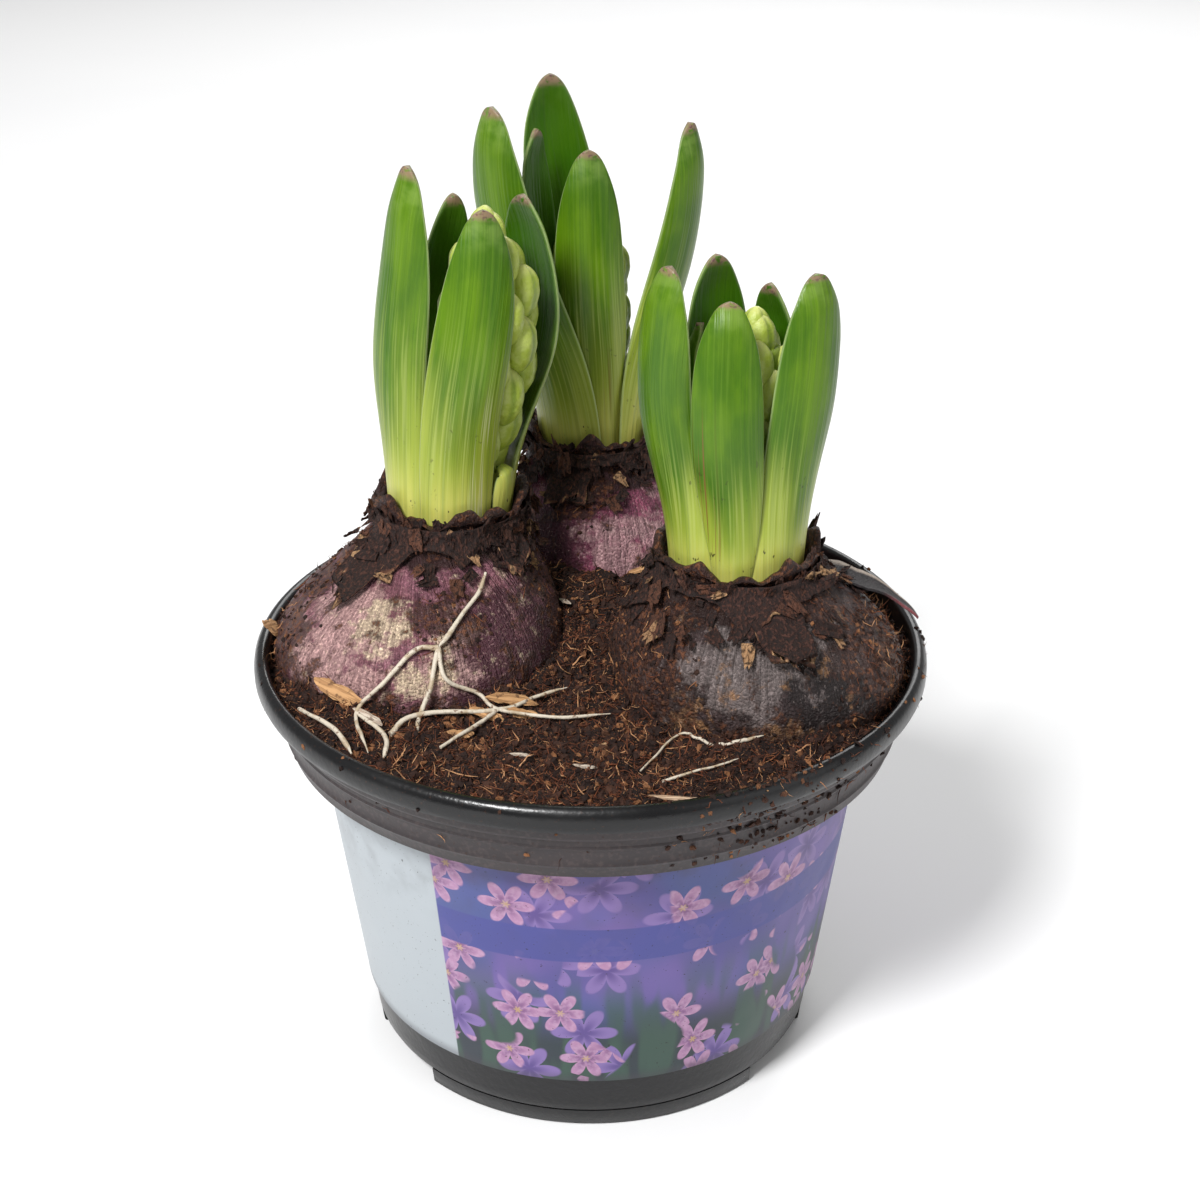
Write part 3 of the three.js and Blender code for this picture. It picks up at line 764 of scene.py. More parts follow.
@dataclass(frozen=True)
class PrintedFilm(Finish):
    """Printed polypropylene film: satin, with simple six-petalled blooms in lilac over violet and green."""

    name: str = "printed_film"
    roughness: float = 0.42
    strip_edge: float = -33.5  # where the plain pale strip ends, in degrees from the front
    seam_edge: float = 148.0  # where the same plain film begins behind
    plain: str = "#a9b0b5"
    bloom_size: float = 14.0
    petals: int = 6
    bar: tuple[float, float] = (0.57, 0.71)

    def flowers(self, tree: Tree, around: Socket, size: float, shift: float) -> tuple[Socket, Socket]:
        """Scattered six-petalled blooms.

        Args:
            tree: the material's tree.
            around: coordinates on the film, in millimetres.
            size: distance between blooms.
            shift: moves the pattern.

        Returns:
            A mask of petals, and how far out from its middle each point of a bloom lies.
        """
        moved = put(tree, "ShaderNodeMapping", {"Vector": around, "Location": (shift,) * 3})
        inputs = {"Vector": moved.outputs[0], "Scale": 1 / size, "Randomness": 0.75}
        cells = put(tree, "ShaderNodeTexVoronoi", inputs, voronoi_dimensions="2D")
        inputs = {0: moved.outputs[0], 1: cells.outputs["Position"]}
        local = put(tree, "ShaderNodeVectorMath", inputs, operation="SUBTRACT")
        parts = put(tree, "ShaderNodeSeparateXYZ", {0: local.outputs[0]}).outputs
        half_turns = maths(tree, "MULTIPLY", maths(tree, "ARCTAN2", parts[1], parts[0]), self.petals / 2)
        lobes = maths(tree, "ABSOLUTE", maths(tree, "COSINE", half_turns))
        reach = put(tree, "ShaderNodeMapRange", {"Value": lobes, "To Min": 0.16, "To Max": 0.47}).outputs[0]
        out = maths(tree, "DIVIDE", cells.outputs["Distance"], reach)
        return ramp(tree, out, 1.04, 0.92), out

    def paint(self, tree: Tree, shader: Node) -> Look:
        """A plain pale strip, and beside it a blurred ground, leaves, two layers of blooms and a bar."""
        height, degrees = mark(tree, "height"), mark(tree, "degrees")
        around, where = mark(tree, "around", "Vector"), self.place(tree)
        back, back_out = self.flowers(tree, around, self.bloom_size, 3)
        front, front_out = self.flowers(tree, around, 0.8 * self.bloom_size, 41)
        blades = patches(tree, around, 4, 0.42, 0.6, stretch=(1, 5, 1), shift=9, detail=1)
        low_green = ramp(tree, height, 0.42, 0.16)
        ground = coats(
            tree,
            "#4f4b86",
            (patches(tree, around, 24, 0.35, 0.65, detail=1), "#6d5a98"),
            (patches(tree, around, 17, 0.45, 0.7, shift=5, detail=1), "#47558a", 0.8),
            (product(tree, blades, ramp(tree, height, 0.6, 0.3)), "#36524e", 0.75),
            (low_green, "#27332f", 0.92),
            (product(tree, low_green, blades), "#3c564a", 0.7),
        )
        upper = patches(tree, around, 19, 0.46, 0.49, shift=15, detail=0)
        middle = patches(tree, around, 16, 0.47, 0.5, shift=33, detail=0)
        fleck = patches(tree, around, 0.9, 0.4, 0.7, shift=51)
        colour = coats(
            tree,
            ground,
            (product(tree, back, upper), "#7d68a0"),
            (product(tree, back, upper, ramp(tree, back_out, 0.8, 0.1)), "#4f3e7c", 0.85),
            (product(tree, front, middle), "#a87ea0"),
            (product(tree, front, middle, ramp(tree, front_out, 0.85, 0.1)), "#6f4676", 0.9),
            (product(tree, front, middle, ramp(tree, front_out, 0.22, 0.1)), "#b79a6a", 0.8),
            (product(tree, front, middle, fleck), "#c2a2bc", 0.4),
        )
        low, high = self.bar
        bar = product(tree, ramp(tree, height, low - 0.006, low), ramp(tree, height, high + 0.006, high))
        picture = coats(tree, colour, (bar, "#454889", 0.94))
        strip = ramp(tree, degrees, self.strip_edge + 0.2, self.strip_edge - 0.2)
        behind = ramp(tree, degrees, self.seam_edge, self.seam_edge + 0.4)
        dust = product(tree, patches(tree, where, 6 * MM, 0.4, 0.75, detail=6), ramp(tree, height, 0.5, 1.0))
        shown = coats(
            tree,
            picture,
            (strip, self.plain),
            (behind, self.plain),
            (dust, "#4a4144", 0.4),
            (patches(tree, where, 0.6 * MM, 0.68, 0.72, shift=12, detail=3), "#211814", 0.7),
            (ramp(tree, height, 0.05, 0.0), "#3e3b42", 0.5),
        )
        return shown, patches(tree, where, 14 * MM, 0.3, 0.7, detail=1), 0.25


@dataclass(frozen=True)
class PaleFloor(Finish):
    """Plain white studio floor."""

    name: str = "pale_floor"
    roughness: float = 0.9

    def paint(self, tree: Tree, shader: Node) -> Look:
        """White, with a faint mottling that stays below what shows."""
        mottling = patches(tree, self.place(tree), 0.2, 0.4, 0.7)
        return coats(tree, "#f8f8f8", (mottling, "#f4f4f5", 0.5)), None, 0.0


# Geometry node trees


class NodeBuilds:
    """The three node trees that copy, scatter and sweep, each made once."""

    tone_seed: int = 7

    def __init__(self) -> None:
        """Makes the trees."""
        self.copies = self._copies()
        self.scatter = self._scatter()
        self.strand = self._strand()

    def _tree(self, name: str, sockets: dict[str, str]) -> tuple[Tree, dict[str, Socket]]:
        """An empty tree that takes and gives geometry.

        Args:
            name: the tree's name.
            sockets: each further input's name and kind.

        Returns:
            The tree, and its inputs' sockets by name.
        """
        tree = bpy.data.node_groups.new(name, "GeometryNodeTree")
        tree.interface.new_socket("Geometry", in_out="INPUT", socket_type="NodeSocketGeometry")
        for label, kind in sockets.items():
            tree.interface.new_socket(label, in_out="INPUT", socket_type=f"NodeSocket{kind}")
        tree.interface.new_socket("Geometry", in_out="OUTPUT", socket_type="NodeSocketGeometry")
        entry = put(tree, "NodeGroupInput")
        return tree, {socket.name: socket for socket in entry.outputs if socket.name}

    def _finish(self, tree: Tree, geometry: Socket, material: Socket) -> None:
        """Ends a tree in real geometry with its material."""
        real = put(tree, "GeometryNodeRealizeInstances", {"Geometry": geometry})
        dressed = put(tree, "GeometryNodeSetMaterial", {"Geometry": real.outputs[0], "Material": material})
        put(tree, "NodeGroupOutput", {0: dressed.outputs[0]})

    def _named(self, tree: Tree, name: str, kind: str = "FLOAT") -> Socket:
        """A value that the host keeps on its points."""
        return put(tree, "GeometryNodeInputNamedAttribute", {"Name": name}, data_type=kind).outputs[0]

    def _draw(self, tree: Tree, kind: str, *limits: Socket | float, seed: Socket | int) -> Socket:
        """A random value of a kind between two limits for each point."""
        low, high = limits
        row = ("FLOAT_VECTOR", "FLOAT", "INT").index(kind)
        inputs = {2 * row: low, 2 * row + 1: high, "Seed": seed}
        return put(tree, "FunctionNodeRandomValue", inputs, data_type=kind).outputs[row]

    def _copy(self, tree: Tree, given: dict[str, Socket], inputs: dict[str, Socket], tone: Socket) -> Tree:
        """Ends a tree in copies of its kinds.

        Args:
            tree: the tree.
            given: its inputs.
            inputs: the copies' points, and the index, rotation and scale of each.
            tone: what each copy keeps as its tone.

        Returns:
            The tree.
        """
        shapes = {"Collection": given["Kinds"], "Separate Children": True, "Reset Children": True}
        inputs["Instance"] = put(tree, "GeometryNodeCollectionInfo", shapes).outputs[0]
        inputs["Pick Instance"] = True
        copies = put(tree, "GeometryNodeInstanceOnPoints", inputs)
        inputs = {"Geometry": copies.outputs[0], "Name": "tone", "Value": tone}
        toned = put(tree, "GeometryNodeStoreNamedAttribute", inputs, data_type="FLOAT", domain="INSTANCE")
        self._finish(tree, toned.outputs[0], given["Material"])
        return tree

    def _copies(self) -> Tree:
        """Puts a shape on each point, by the point's own kind, turn, size and tone."""
        tree, given = self._tree("placed_copies", {"Kinds": "Collection", "Material": "Material"})
        turn = put(tree, "FunctionNodeEulerToRotation", {0: self._named(tree, "turn", "FLOAT_VECTOR")})
        inputs = {
            "Points": given["Geometry"],
            "Instance Index": self._named(tree, "kind", "INT"),
            "Rotation": turn.outputs[0],
            "Scale": self._named(tree, "size", "FLOAT_VECTOR"),
        }
        return self._copy(tree, given, inputs, self._named(tree, "tone"))

    def _scatter(self) -> Tree:
        """Strews shapes over a surface, as thickly as its cover says."""
        sockets = {"Kinds": "Collection", "Material": "Material", "Seed": "Int"}
        sockets |= dict.fromkeys(("Density", "Smallest", "Largest", "Tilt"), "Float")
        tree, given = self._tree("strewn_bits", sockets)
        density, seed = maths(tree, "MULTIPLY", given["Density"], self._named(tree, "cover")), given["Seed"]
        inputs = {"Mesh": given["Geometry"], "Density": density, "Seed": seed}
        spots = put(tree, "GeometryNodeDistributePointsOnFaces", inputs, distribute_method="RANDOM").outputs
        tilt = given["Tilt"]
        down = maths(tree, "MULTIPLY", tilt, -1.0)
        low = put(tree, "ShaderNodeCombineXYZ", {0: down, 1: down, 2: 0.0}).outputs[0]
        high = put(tree, "ShaderNodeCombineXYZ", {0: tilt, 1: tilt, 2: FULL_TURN}).outputs[0]
        euler = self._draw(tree, "FLOAT_VECTOR", low, high, seed=seed)
        turn = put(tree, "FunctionNodeEulerToRotation", {0: euler})
        inputs = {"Rotation": spots["Rotation"], "Rotate By": turn.outputs[0]}
        inputs = {
            "Points": spots["Points"],
            "Instance Index": self._draw(tree, "INT", 0, 99, seed=seed),  # the index wraps round the kinds
            "Rotation": put(tree, "FunctionNodeRotateRotation", inputs, rotation_space="LOCAL").outputs[0],
            "Scale": self._draw(tree, "FLOAT", given["Smallest"], given["Largest"], seed=seed),
        }
        return self._copy(tree, given, inputs, self._draw(tree, "FLOAT", 0.0, 1.0, seed=self.tone_seed))

    def _strand(self) -> Tree:
        """Sweeps a round section along lines, as thick as each point says."""
        tree, given = self._tree("swept_strand", {"Material": "Material", "Sides": "Int"})
        line = put(tree, "GeometryNodeMeshToCurve", {"Mesh": given["Geometry"]})
        section = put(tree, "GeometryNodeCurvePrimitiveCircle", {"Resolution": given["Sides"], "Radius": 1.0})
        inputs = {"Curve": line.outputs[0], "Profile Curve": section.outputs[0], "Fill Caps": True}
        sweep = put(tree, "GeometryNodeCurveToMesh", inputs | {"Scale": self._named(tree, "thick")})
        soft = put(tree, "GeometryNodeSetShadeSmooth", {0: sweep.outputs[0]})
        self._finish(tree, soft.outputs[0], given["Material"])
        return tree

    def run(self, tree: Tree, host: Object, name: str, **inputs) -> Object:
        """Runs a tree on an object and keeps the result as a plain mesh.

        Args:
            tree: one of the trees.
            host: carries the points, lines or surface; it is removed.
            name: the new piece's name.
            inputs: values for the tree's named inputs.

        Returns:
            The piece.
        """
        modifier = host.modifiers.new(tree.name, "NODES")
        modifier.node_group = tree
        for item in tree.interface.items_tree:
            if item.item_type == "SOCKET" and item.in_out == "INPUT" and item.name in inputs:
                modifier[item.identifier] = inputs[item.name]
        host.update_tag()
        depsgraph = bpy.context.evaluated_depsgraph_get()
        mesh = bpy.data.meshes.new_from_object(host.evaluated_get(depsgraph), depsgraph=depsgraph)
        mesh.name = name
        mesh.materials.clear()
        mesh.materials.append(inputs["Material"])
        mesh.polygons.foreach_set("material_index", [0] * len(mesh.polygons))
        piece = bpy.data.objects.new(name, mesh)
        bpy.context.scene.collection.objects.link(piece)
        bpy.data.objects.remove(host)
        return piece

    def place(self, spots: "Spots", name: str, kinds: Collection, material: Material) -> Object:
        """A piece made of copies of some kinds of shape at their spots."""
        return self.run(self.copies, spots.body().made(f"{name}_spots"), name, Kinds=kinds, Material=material)


def collection_of(name: str, shape: Callable[[int], Body], count: int, soft: bool = True) -> Collection:
    """Kinds of a shape that the trees copy, kept in a collection outside the scene.

    Args:
        name: the collection's name.
        shape: makes the body of each kind from its number.
        count: how many kinds there are.
        soft: whether their faces are shaded as one smooth surface.

    Returns:
        The collection.
    """
    group = bpy.data.collections.new(name)
    for i in range(count):
        made = shape(i).made(f"{name}_{i:02d}", soft=soft)
        bpy.context.scene.collection.objects.unlink(made)
        group.objects.link(made)
    return group


@dataclass
class Spots:
    """Points for the copying tree: where, which kind, how turned, how large and of which tone."""

    rows: list = field(default_factory=list)

    def add(self, place: Array, kind: int, turn: tuple, size: tuple, tone: float) -> None:
        """Adds a point. Turn is an Euler angle in radians and size a scale along each axis."""
        self.rows.append((place, kind, turn, size, tone))

    def body(self) -> Body:
        """The points as a mesh without faces."""
        places, kinds, *columns = zip(*self.rows)
        marks = {name: np.array(column, float) for name, column in zip(("turn", "size", "tone"), columns)}
        return Body(np.array(places, float), [], {"kind": np.array(kinds, dtype=np.int32), **marks})


# Sizes shared with the frame


@dataclass(frozen=True)
class PotSizes:
    """Sizes of the pot."""

    height: float = 84.5
    rim_radius: float = 65.0
    rim_height: float = 5.0
    band_radius: float = 59.4
    band_bottom: float = 67.0
    body_radius: float = 53.0
    foot_radius: float = 44.2
    foot_height: float = 3.2
    foot_width: float = 5.0
    foot_arcs: int = 3
    foot_arc_angle: float = 90.0
    wall: float = 1.0
    drain_holes: int = 6
    drain_radius: float = 4.0
    drain_circle: float = 25.0

    def radius_at(self, z: Array | float) -> Array | float:
        """Outer radius of the tapered body."""
        return mix(self.foot_radius, self.body_radius, z / self.band_bottom)


@dataclass(frozen=True)
class SoilSizes:
    """Sizes of the soil, which is heaped between the bulbs."""

    level: float = 82.2
    heap: float = 9.0
    heap_x: float = 0.0
    heap_y: float = 16.0
    heap_spread: float = 17.0
    edge: float = 61.4
    clearance: float = 0.5

    def height(self, x: Array, y: Array) -> Array:
        """Height of the raked surface, before its crumbs."""
        spread = ((x - self.heap_x) ** 2 + (y - self.heap_y) ** 2) / self.heap_spread**2
        clods = (
            0.5 * np.sin(0.31 * x + 1.3) * np.cos(0.27 * y)
            + 0.35 * np.sin(0.57 * x - 0.41 * y)
            + 0.25 * np.sin(0.62 * y + 0.35 * x + 2)
        )
        return self.level + self.heap * np.exp(-spread) + clods


@dataclass(frozen=True)
class LeafSizes:
    """Sizes of one leaf. Mid and tip are given from the neck, angles in degrees seen from above."""

    start: float
    facing: float
    ring: float
    mid: tuple[float, float, float]
    tip: tuple[float, float, float]
    half_width: float
    sheath: float = 0.74
    green: float = 1.0  # how far up a full-grown leaf's colours it reaches
    foot: float = 1.0  # how far the yellow-green foot reaches, as a share of the usual
    pale: tuple[float, float] = (9.0, 0.0)  # pale stripes: where across the leaf, and how far up
    rusty: tuple[float, float] = (9.0, 0.0)  # red-brown stripes


@dataclass(frozen=True)
class FlapSizes:
    """A torn flap on a bulb's shoulder."""

    start: float
    down: float
    out: float
    half_width: float
    phase: float


@dataclass(frozen=True)
class PlantSizes:
    """Sizes of one plant: bulb, neck, collar, leaves and spike."""

    name: str
    bulb: tuple[float, float, float]
    bulb_radius: float
    phase: float
    neck: tuple[float, float, float]
    neck_radius: float
    socket: float
    collar_height: float
    collar_ragged: float
    collar_phase: float
    leaves: tuple[LeafSizes, ...]
    spike_mid: tuple[float, float, float]
    spike_tip: tuple[float, float, float]
    spike_radius: float
    buds: int
    bud_turn: float
    flaps: tuple[FlapSizes, ...]
    kind: BulbKind
    slot: str
    shoulder_power: float = 1.7
    lobes: tuple[tuple[float, float], ...] = ()  # where the torn tunic hangs lower, and how much
    bud_top: float = 0.86  # where along the scape the topmost bud stands

    def gap(self, x: Array, y: Array) -> Array:
        """How far places lie from the bulb's widest ring, seen from above."""
        return np.hypot(x - self.bulb[0], y - self.bulb[1]) - self.bulb_radius


POT = PotSizes()
SOIL = SoilSizes()
LEFT = PlantSizes(
    name="left",
    bulb=(-33.1, 0.3, 83.4),
    bulb_radius=27.6,
    phase=0.6,
    neck=(-26.8, 6, 110.5),
    neck_radius=13.9,
    socket=12.3,
    collar_height=3.4,
    collar_ragged=2.6,
    collar_phase=1.1,
    leaves=(
        LeafSizes(203, 222, 10.7, (-9.9, -5.8, 32), (-6.6, -5, 66), 8.2, 1.06, pale=(-0.8, 0.75)),
        LeafSizes(279, 276, 10.7, (4.8, -14, 29.5), (8.2, -10, 59.3), 7.9, 0.86, pale=(0.55, 0.5)),
        LeafSizes(24, 48, 10.7, (17, 8.8, 31.5), (15.4, 8.2, 57.5), 7.8),
        LeafSizes(110, 112, 10.7, (-4, 13, 28), (1.4, 9, 57.5), 5.9),
        LeafSizes(334, 332, 10.8, (10.9, -5.7, 4), (11.2, -6, 9), 3.3, green=0.18),
    ),
    spike_mid=(7.4, -1, 28),
    spike_tip=(7.8, -1.5, 56.5),
    spike_radius=7,
    buds=36,
    bud_turn=20,
    flaps=(FlapSizes(215, 11, 2.4, 5, 0), FlapSizes(325, 8, 2, 4, 2)),
    kind=BulbKind.MAUVE,
    slot="bulb_skin_purple",
    lobes=((235, 5), (285, 3)),
    bud_top=0.91,
)
RIGHT = PlantSizes(
    name="right",
    bulb=(31.2, -12.6, 86.2),
    bulb_radius=27,
    phase=2.1,
    neck=(27, -12.5, 108.2),
    neck_radius=14.6,
    socket=12.9,
    collar_height=3,
    collar_ragged=2.2,
    collar_phase=0.2,
    leaves=(
        LeafSizes(
            202, 222, 11.3, (-15.3, -4.8, 29), (-14.6, -5.5, 56), 7.4, 1.24, foot=0.68, pale=(-0.7, 0.55)
        ),
        LeafSizes(
            263, 268, 11.3, (-3.2, -14.2, 28), (-3.2, -11, 51.3), 6.9, 0.4, foot=0.66, rusty=(-0.62, 0.7)
        ),
        LeafSizes(327, 308, 11.3, (12, -7.6, 30), (13.2, -5, 54.4), 8.1, 1.22, foot=0.7, pale=(0.7, 0.6)),
        LeafSizes(118, 112, 11.3, (-4.9, 11.5, 28), (-5.1, 9.5, 54), 7.1),
        LeafSizes(49, 54, 11.3, (8.6, 9.8, 24), (5.8, 7.5, 49.3), 6),
        LeafSizes(190, 190, 7, (-9.4, -0.6, 22), (-9.2, 0.5, 44), 2.6),
    ),
    spike_mid=(1.8, 0, 23.5),
    spike_tip=(2.2, -0.5, 47),
    spike_radius=5.8,
    buds=30,
    bud_turn=75,
    flaps=(FlapSizes(287, 9.5, 3.2, 5.6, 1),),
    kind=BulbKind.SLATE,
    shoulder_power=1.15,
    lobes=((270, 3), (200, 4)),
    slot="bulb_skin_slate",
)
BACK = PlantSizes(
    name="back",
    bulb=(3, 38.1, 86.4),
    bulb_radius=23.1,
    phase=4.1,
    neck=(0.3, 38, 112),
    neck_radius=13.1,
    socket=11.5,
    collar_height=2.6,
    collar_ragged=2,
    collar_phase=2.9,
    leaves=(
        LeafSizes(233, 224, 9.8, (-15, -9.6, 34), (-20, -8, 67.6), 9, 0.96, foot=0.7),
        LeafSizes(283, 277, 7.4, (0.2, -11.2, 31), (-0.3, -9.5, 59.6), 7.4, 0.55, rusty=(0.1, 0.4)),
        LeafSizes(337, 326, 9.8, (16.6, -1.1, 31), (20.4, -0.8, 62.8), 7.4, 0.76, pale=(0.3, 0.4)),
        LeafSizes(76, 95, 9.6, (-3.6, 13, 36), (-8.2, 12.5, 69.5), 8),
        LeafSizes(146, 136, 9, (-10.4, 5.8, 34), (-11.7, 5, 60.6), 4.6),
    ),
    spike_mid=(-0.6, 0.6, 24),
    spike_tip=(-0.8, -0.5, 47),
    spike_radius=5.9,
    buds=28,
    bud_turn=130,
    flaps=(FlapSizes(250, 8, 2, 4.5, 3),),
    kind=BulbKind.WINE,
    slot="bulb_skin_purple",
)


# Zones on the bulbs' skins: directions from the bulb's middle, and how far each reaches. The zone of pale
# bloom is partly the tunic's real bloom and partly a painted highlight.
ZONES = {
    "left": {
        "tan": (((-0.25, -0.8, 0.55), 0.2), ((0, -0.95, 0.15), 0.1), ((0.2, -0.93, 0.25), 0.1)),
        "frost": (((-0.62, -0.7, 0.35), 0.5), ((0.25, -0.9, 0.3), 0.2)),
        "deep": (((0.75, -0.62, 0.1), 0.6), ((-0.35, -0.85, -0.35), 0.25)),
        "soiled": (
            ((-0.97, -0.15, 0.1), 0.42),
            ((-0.75, 0.1, 0.6), 0.4),
            ((0.3, -0.75, 0.55), 0.25),
            ((0.9, 0.2, 0.3), 0.5),
        ),
    },
    "right": {
        "tan": (((-0.45, -0.85, -0.15), 0.2), ((0.12, -0.95, -0.25), 0.2), ((0.9, -0.35, 0.1), 0.2)),
        "frost": (((-0.2, -0.9, 0.35), 0.34), ((0.15, -0.85, 0.5), 0.26), ((-0.5, -0.75, 0.4), 0.12)),
        "deep": (((0, -0.75, 0.6), 0.45), ((0.45, -0.85, 0), 0.35)),
        "soiled": (((0.9, -0.35, 0.2), 0.5), ((-0.9, -0.3, 0.2), 0.6), ((0.2, -0.3, 0.9), 0.45)),
    },
    "back": {
        "tan": (((0.6, -0.7, 0.2), 0.1),),
        "frost": (((0.25, -0.95, 0.25), 0.4),),
        "deep": (((-0.6, -0.75, 0.2), 0.5),),
        "soiled": (((0, -0.8, -0.4), 0.4), ((-0.2, -0.6, 0.75), 0.3)),
    },
}


def turned(normal: Array, along: Array) -> tuple[float, float, float]:
    """The Euler angle that turns X to a normal, and Z as near to a direction as the normal leaves it."""
    z = unit(along - normal * (along @ normal))
    return tuple(Matrix(np.stack([normal, np.cross(z, normal), z], -1).tolist()).to_euler())


def attach(piece: Object, slot: str, *nodes: str) -> Object:
    """Rides a piece on the root body and reports it.

    Args:
        piece: the finished piece.
        slot: its material slot; not used.
        nodes: the nodes of the CAD that it stands for, if any.

    Returns:
        The piece.
    """
    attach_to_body(piece, ROOT_BODY)
    if nodes:
        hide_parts(*nodes)
    log.info("%s: %d faces", piece.name, len(piece.data.polygons))
    return piece


# The pot


@dataclass
class NurseryPot:
    """The black pot: a tapered body, a stepped band with two fine rings, a rolled rim and three foot arcs."""

    sizes: PotSizes = POT
    segments: int = 192
    ring_heights: tuple[float, float] = (70.2, 74.2)
    ring_depth: float = 0.35

    def section(self) -> Array:
        """The wall's section as (radius, height) points, from the floor's underside round to its top."""
        s = self.sizes
        rim_bottom = s.height - s.rim_height
        outer = [(0.5, s.foot_height), (s.radius_at(s.foot_height) - 1.2, s.foot_height)]
        outer += [(s.radius_at(3.5) - 0.35, s.foot_height + 0.3), (s.radius_at(4.4), s.foot_height + 1.2)]
        outer += [(s.radius_at(z), z) for z in np.linspace(6, s.band_bottom - 0.6, 14)]
        outer += [(s.body_radius + 0.2, s.band_bottom - 0.1), (s.body_radius + 1.2, s.band_bottom)]
        outer += [(s.band_radius - 0.9, s.band_bottom + 0.05), (s.band_radius - 0.2, s.band_bottom + 0.5)]
        for height in self.ring_heights:
            for step, out in ((-0.7, 0), (-0.35, 0.6), (0, 1), (0.35, 0.6), (0.7, 0)):
                z = height + step
                face = mix(s.band_radius, s.band_radius + 1.3, (z - s.band_bottom) / 9)
                outer.append((face + out * self.ring_depth, z))
        outer += [(s.band_radius + 1.2, 75.4), (s.band_radius + 1.6, 76.1), (s.band_radius + 2.5, 76.6)]
        outer += [(s.band_radius + 2.8, 77.2), (s.band_radius + 2.95, rim_bottom - 0.2)]
        roll = [(-2.6, 0.0), (-1.1, 0.0), (-0.4, 0.35), (0, 1.3), (0, 2.6), (-0.15, 3.5), (-0.55, 4.3)]
        roll += [(-1.1, 4.8), (-1.7, 5.0), (-2.25, 4.8), (-2.6, 4.3), (-2.75, 3.5)]
        outer += [(s.rim_radius + dx, rim_bottom + dz) for dx, dz in roll]
        inner = [(s.band_radius + 2.1, rim_bottom), (s.band_radius + 1.2, s.band_bottom + 7.4)]
        inner += [(s.band_radius - s.wall, s.band_bottom + 1.8), (s.body_radius, s.band_bottom + 1.0)]
        floor = s.foot_height + s.wall
        inner += [(s.radius_at(s.band_bottom) - s.wall, s.band_bottom + 0.4)]
        inner += [(s.radius_at(floor) - s.wall, floor), (0.5, floor)]
        return np.array(outer + inner)

    def shell(self) -> Body:
        """The wall and the floor."""
        angles = circle(self.segments)
        section = self.section()
        rings = in_plan(section[:, :1], angles[None, :], section[:, 1:])
        return tube(rings)

    def foot(self, middle: float) -> Body:
        """One arc of the foot, centred on an angle in radians."""
        s = self.sizes
        half = math.radians(s.foot_arc_angle / 2)
        steps = np.linspace(middle - half, middle + half, 40)
        top = s.foot_height + s.wall / 2
        outer = s.radius_at(0)
        profile = np.array(
            [(outer - 0.4, 0), (outer, 0.4), (outer + 0.4, top), (outer - s.foot_width, top)]
            + [(outer - s.foot_width, 0.4), (outer - s.foot_width + 0.4, 0)]
        )
        return tube(in_plan(profile[None, :, 0], steps[:, None], profile[None, :, 1]))

    def drain(self, index: int) -> Body:
        """The cutter of one drainage hole."""
        s = self.sizes
        angle = (index + 0.5) / s.drain_holes * FULL_TURN
        turn = circle(32)
        rings = [in_plan(s.drain_radius, turn, s.foot_height + s.wall / 2 + dz) for dz in (-2, 2)]
        return tube(np.stack(rings) + in_plan(s.drain_circle, angle, 0))

    def build(self, finish: Material) -> Object:
        """The pot as one piece, its holes cut."""
        s = self.sizes
        arcs = [self.foot(-math.pi / 2 + i / s.foot_arcs * FULL_TURN) for i in range(s.foot_arcs)]
        pot = joined([self.shell(), *arcs]).made("nursery_pot", finish)
        cutter = joined([self.drain(i) for i in range(s.drain_holes)]).made("drain_cutter")
        cut = pot.modifiers.new("drain", "BOOLEAN")
        cut.object, cut.operation, cut.solver = cutter, "DIFFERENCE", "EXACT"
        cut.use_self = True
        depsgraph = bpy.context.evaluated_depsgraph_get()
        mesh = bpy.data.meshes.new_from_object(pot.evaluated_get(depsgraph))
        pot.modifiers.clear()
        pot.data = mesh
        bpy.data.objects.remove(cutter)
        mesh.set_sharp_from_angle(angle=SHARP_EDGE)
        return attach(pot, "pot_plastic", "pot")


@dataclass
class LabelBand:
    """The film wrapped round the pot's body, with a narrow seam at the back."""

    sizes: PotSizes = POT
    bottom: float = 12.5
    top: float = 66.3
    seam: float = 2.5
    stand_off: float = 0.35
    thickness: float = 0.3
    printed_at: float = 40.0  # the height at which the print has its true width
    columns: int = 240
    rows: int = 40

    def build(self, finish: Material) -> Object:
        """The film as one closed piece."""
        gap = self.seam / self.sizes.radius_at(self.bottom)
        turn = math.pi / 2 + gap / 2 + np.linspace(0, FULL_TURN - gap, self.columns)
        face = np.linspace(self.bottom, self.top, self.rows)
        z = np.concatenate([face, face[::-1]])[None, :]
        out = np.repeat([self.stand_off + self.thickness, self.stand_off], self.rows)[None, :]
        rings = in_plan(self.sizes.radius_at(z) + out, turn[:, None], z)
        degrees = np.broadcast_to(wrapped(np.degrees(turn) + 90, 360)[:, None], rings.shape[:2])
        tall = self.top - self.bottom
        height = np.broadcast_to((z - self.bottom) / tall, rings.shape[:2])
        unrolled = np.radians(degrees) * self.sizes.radius_at(self.printed_at)
        around = np.stack([unrolled, height * tall, np.zeros_like(unrolled)], -1)
        marks = {"degrees": degrees, "height": height, "around": around}
        piece = tube(rings, marks).made("label_film", finish)
        piece.data.set_sharp_from_angle(angle=SHARP_EDGE)
        return attach(piece, "label_film", "label")


# One plant


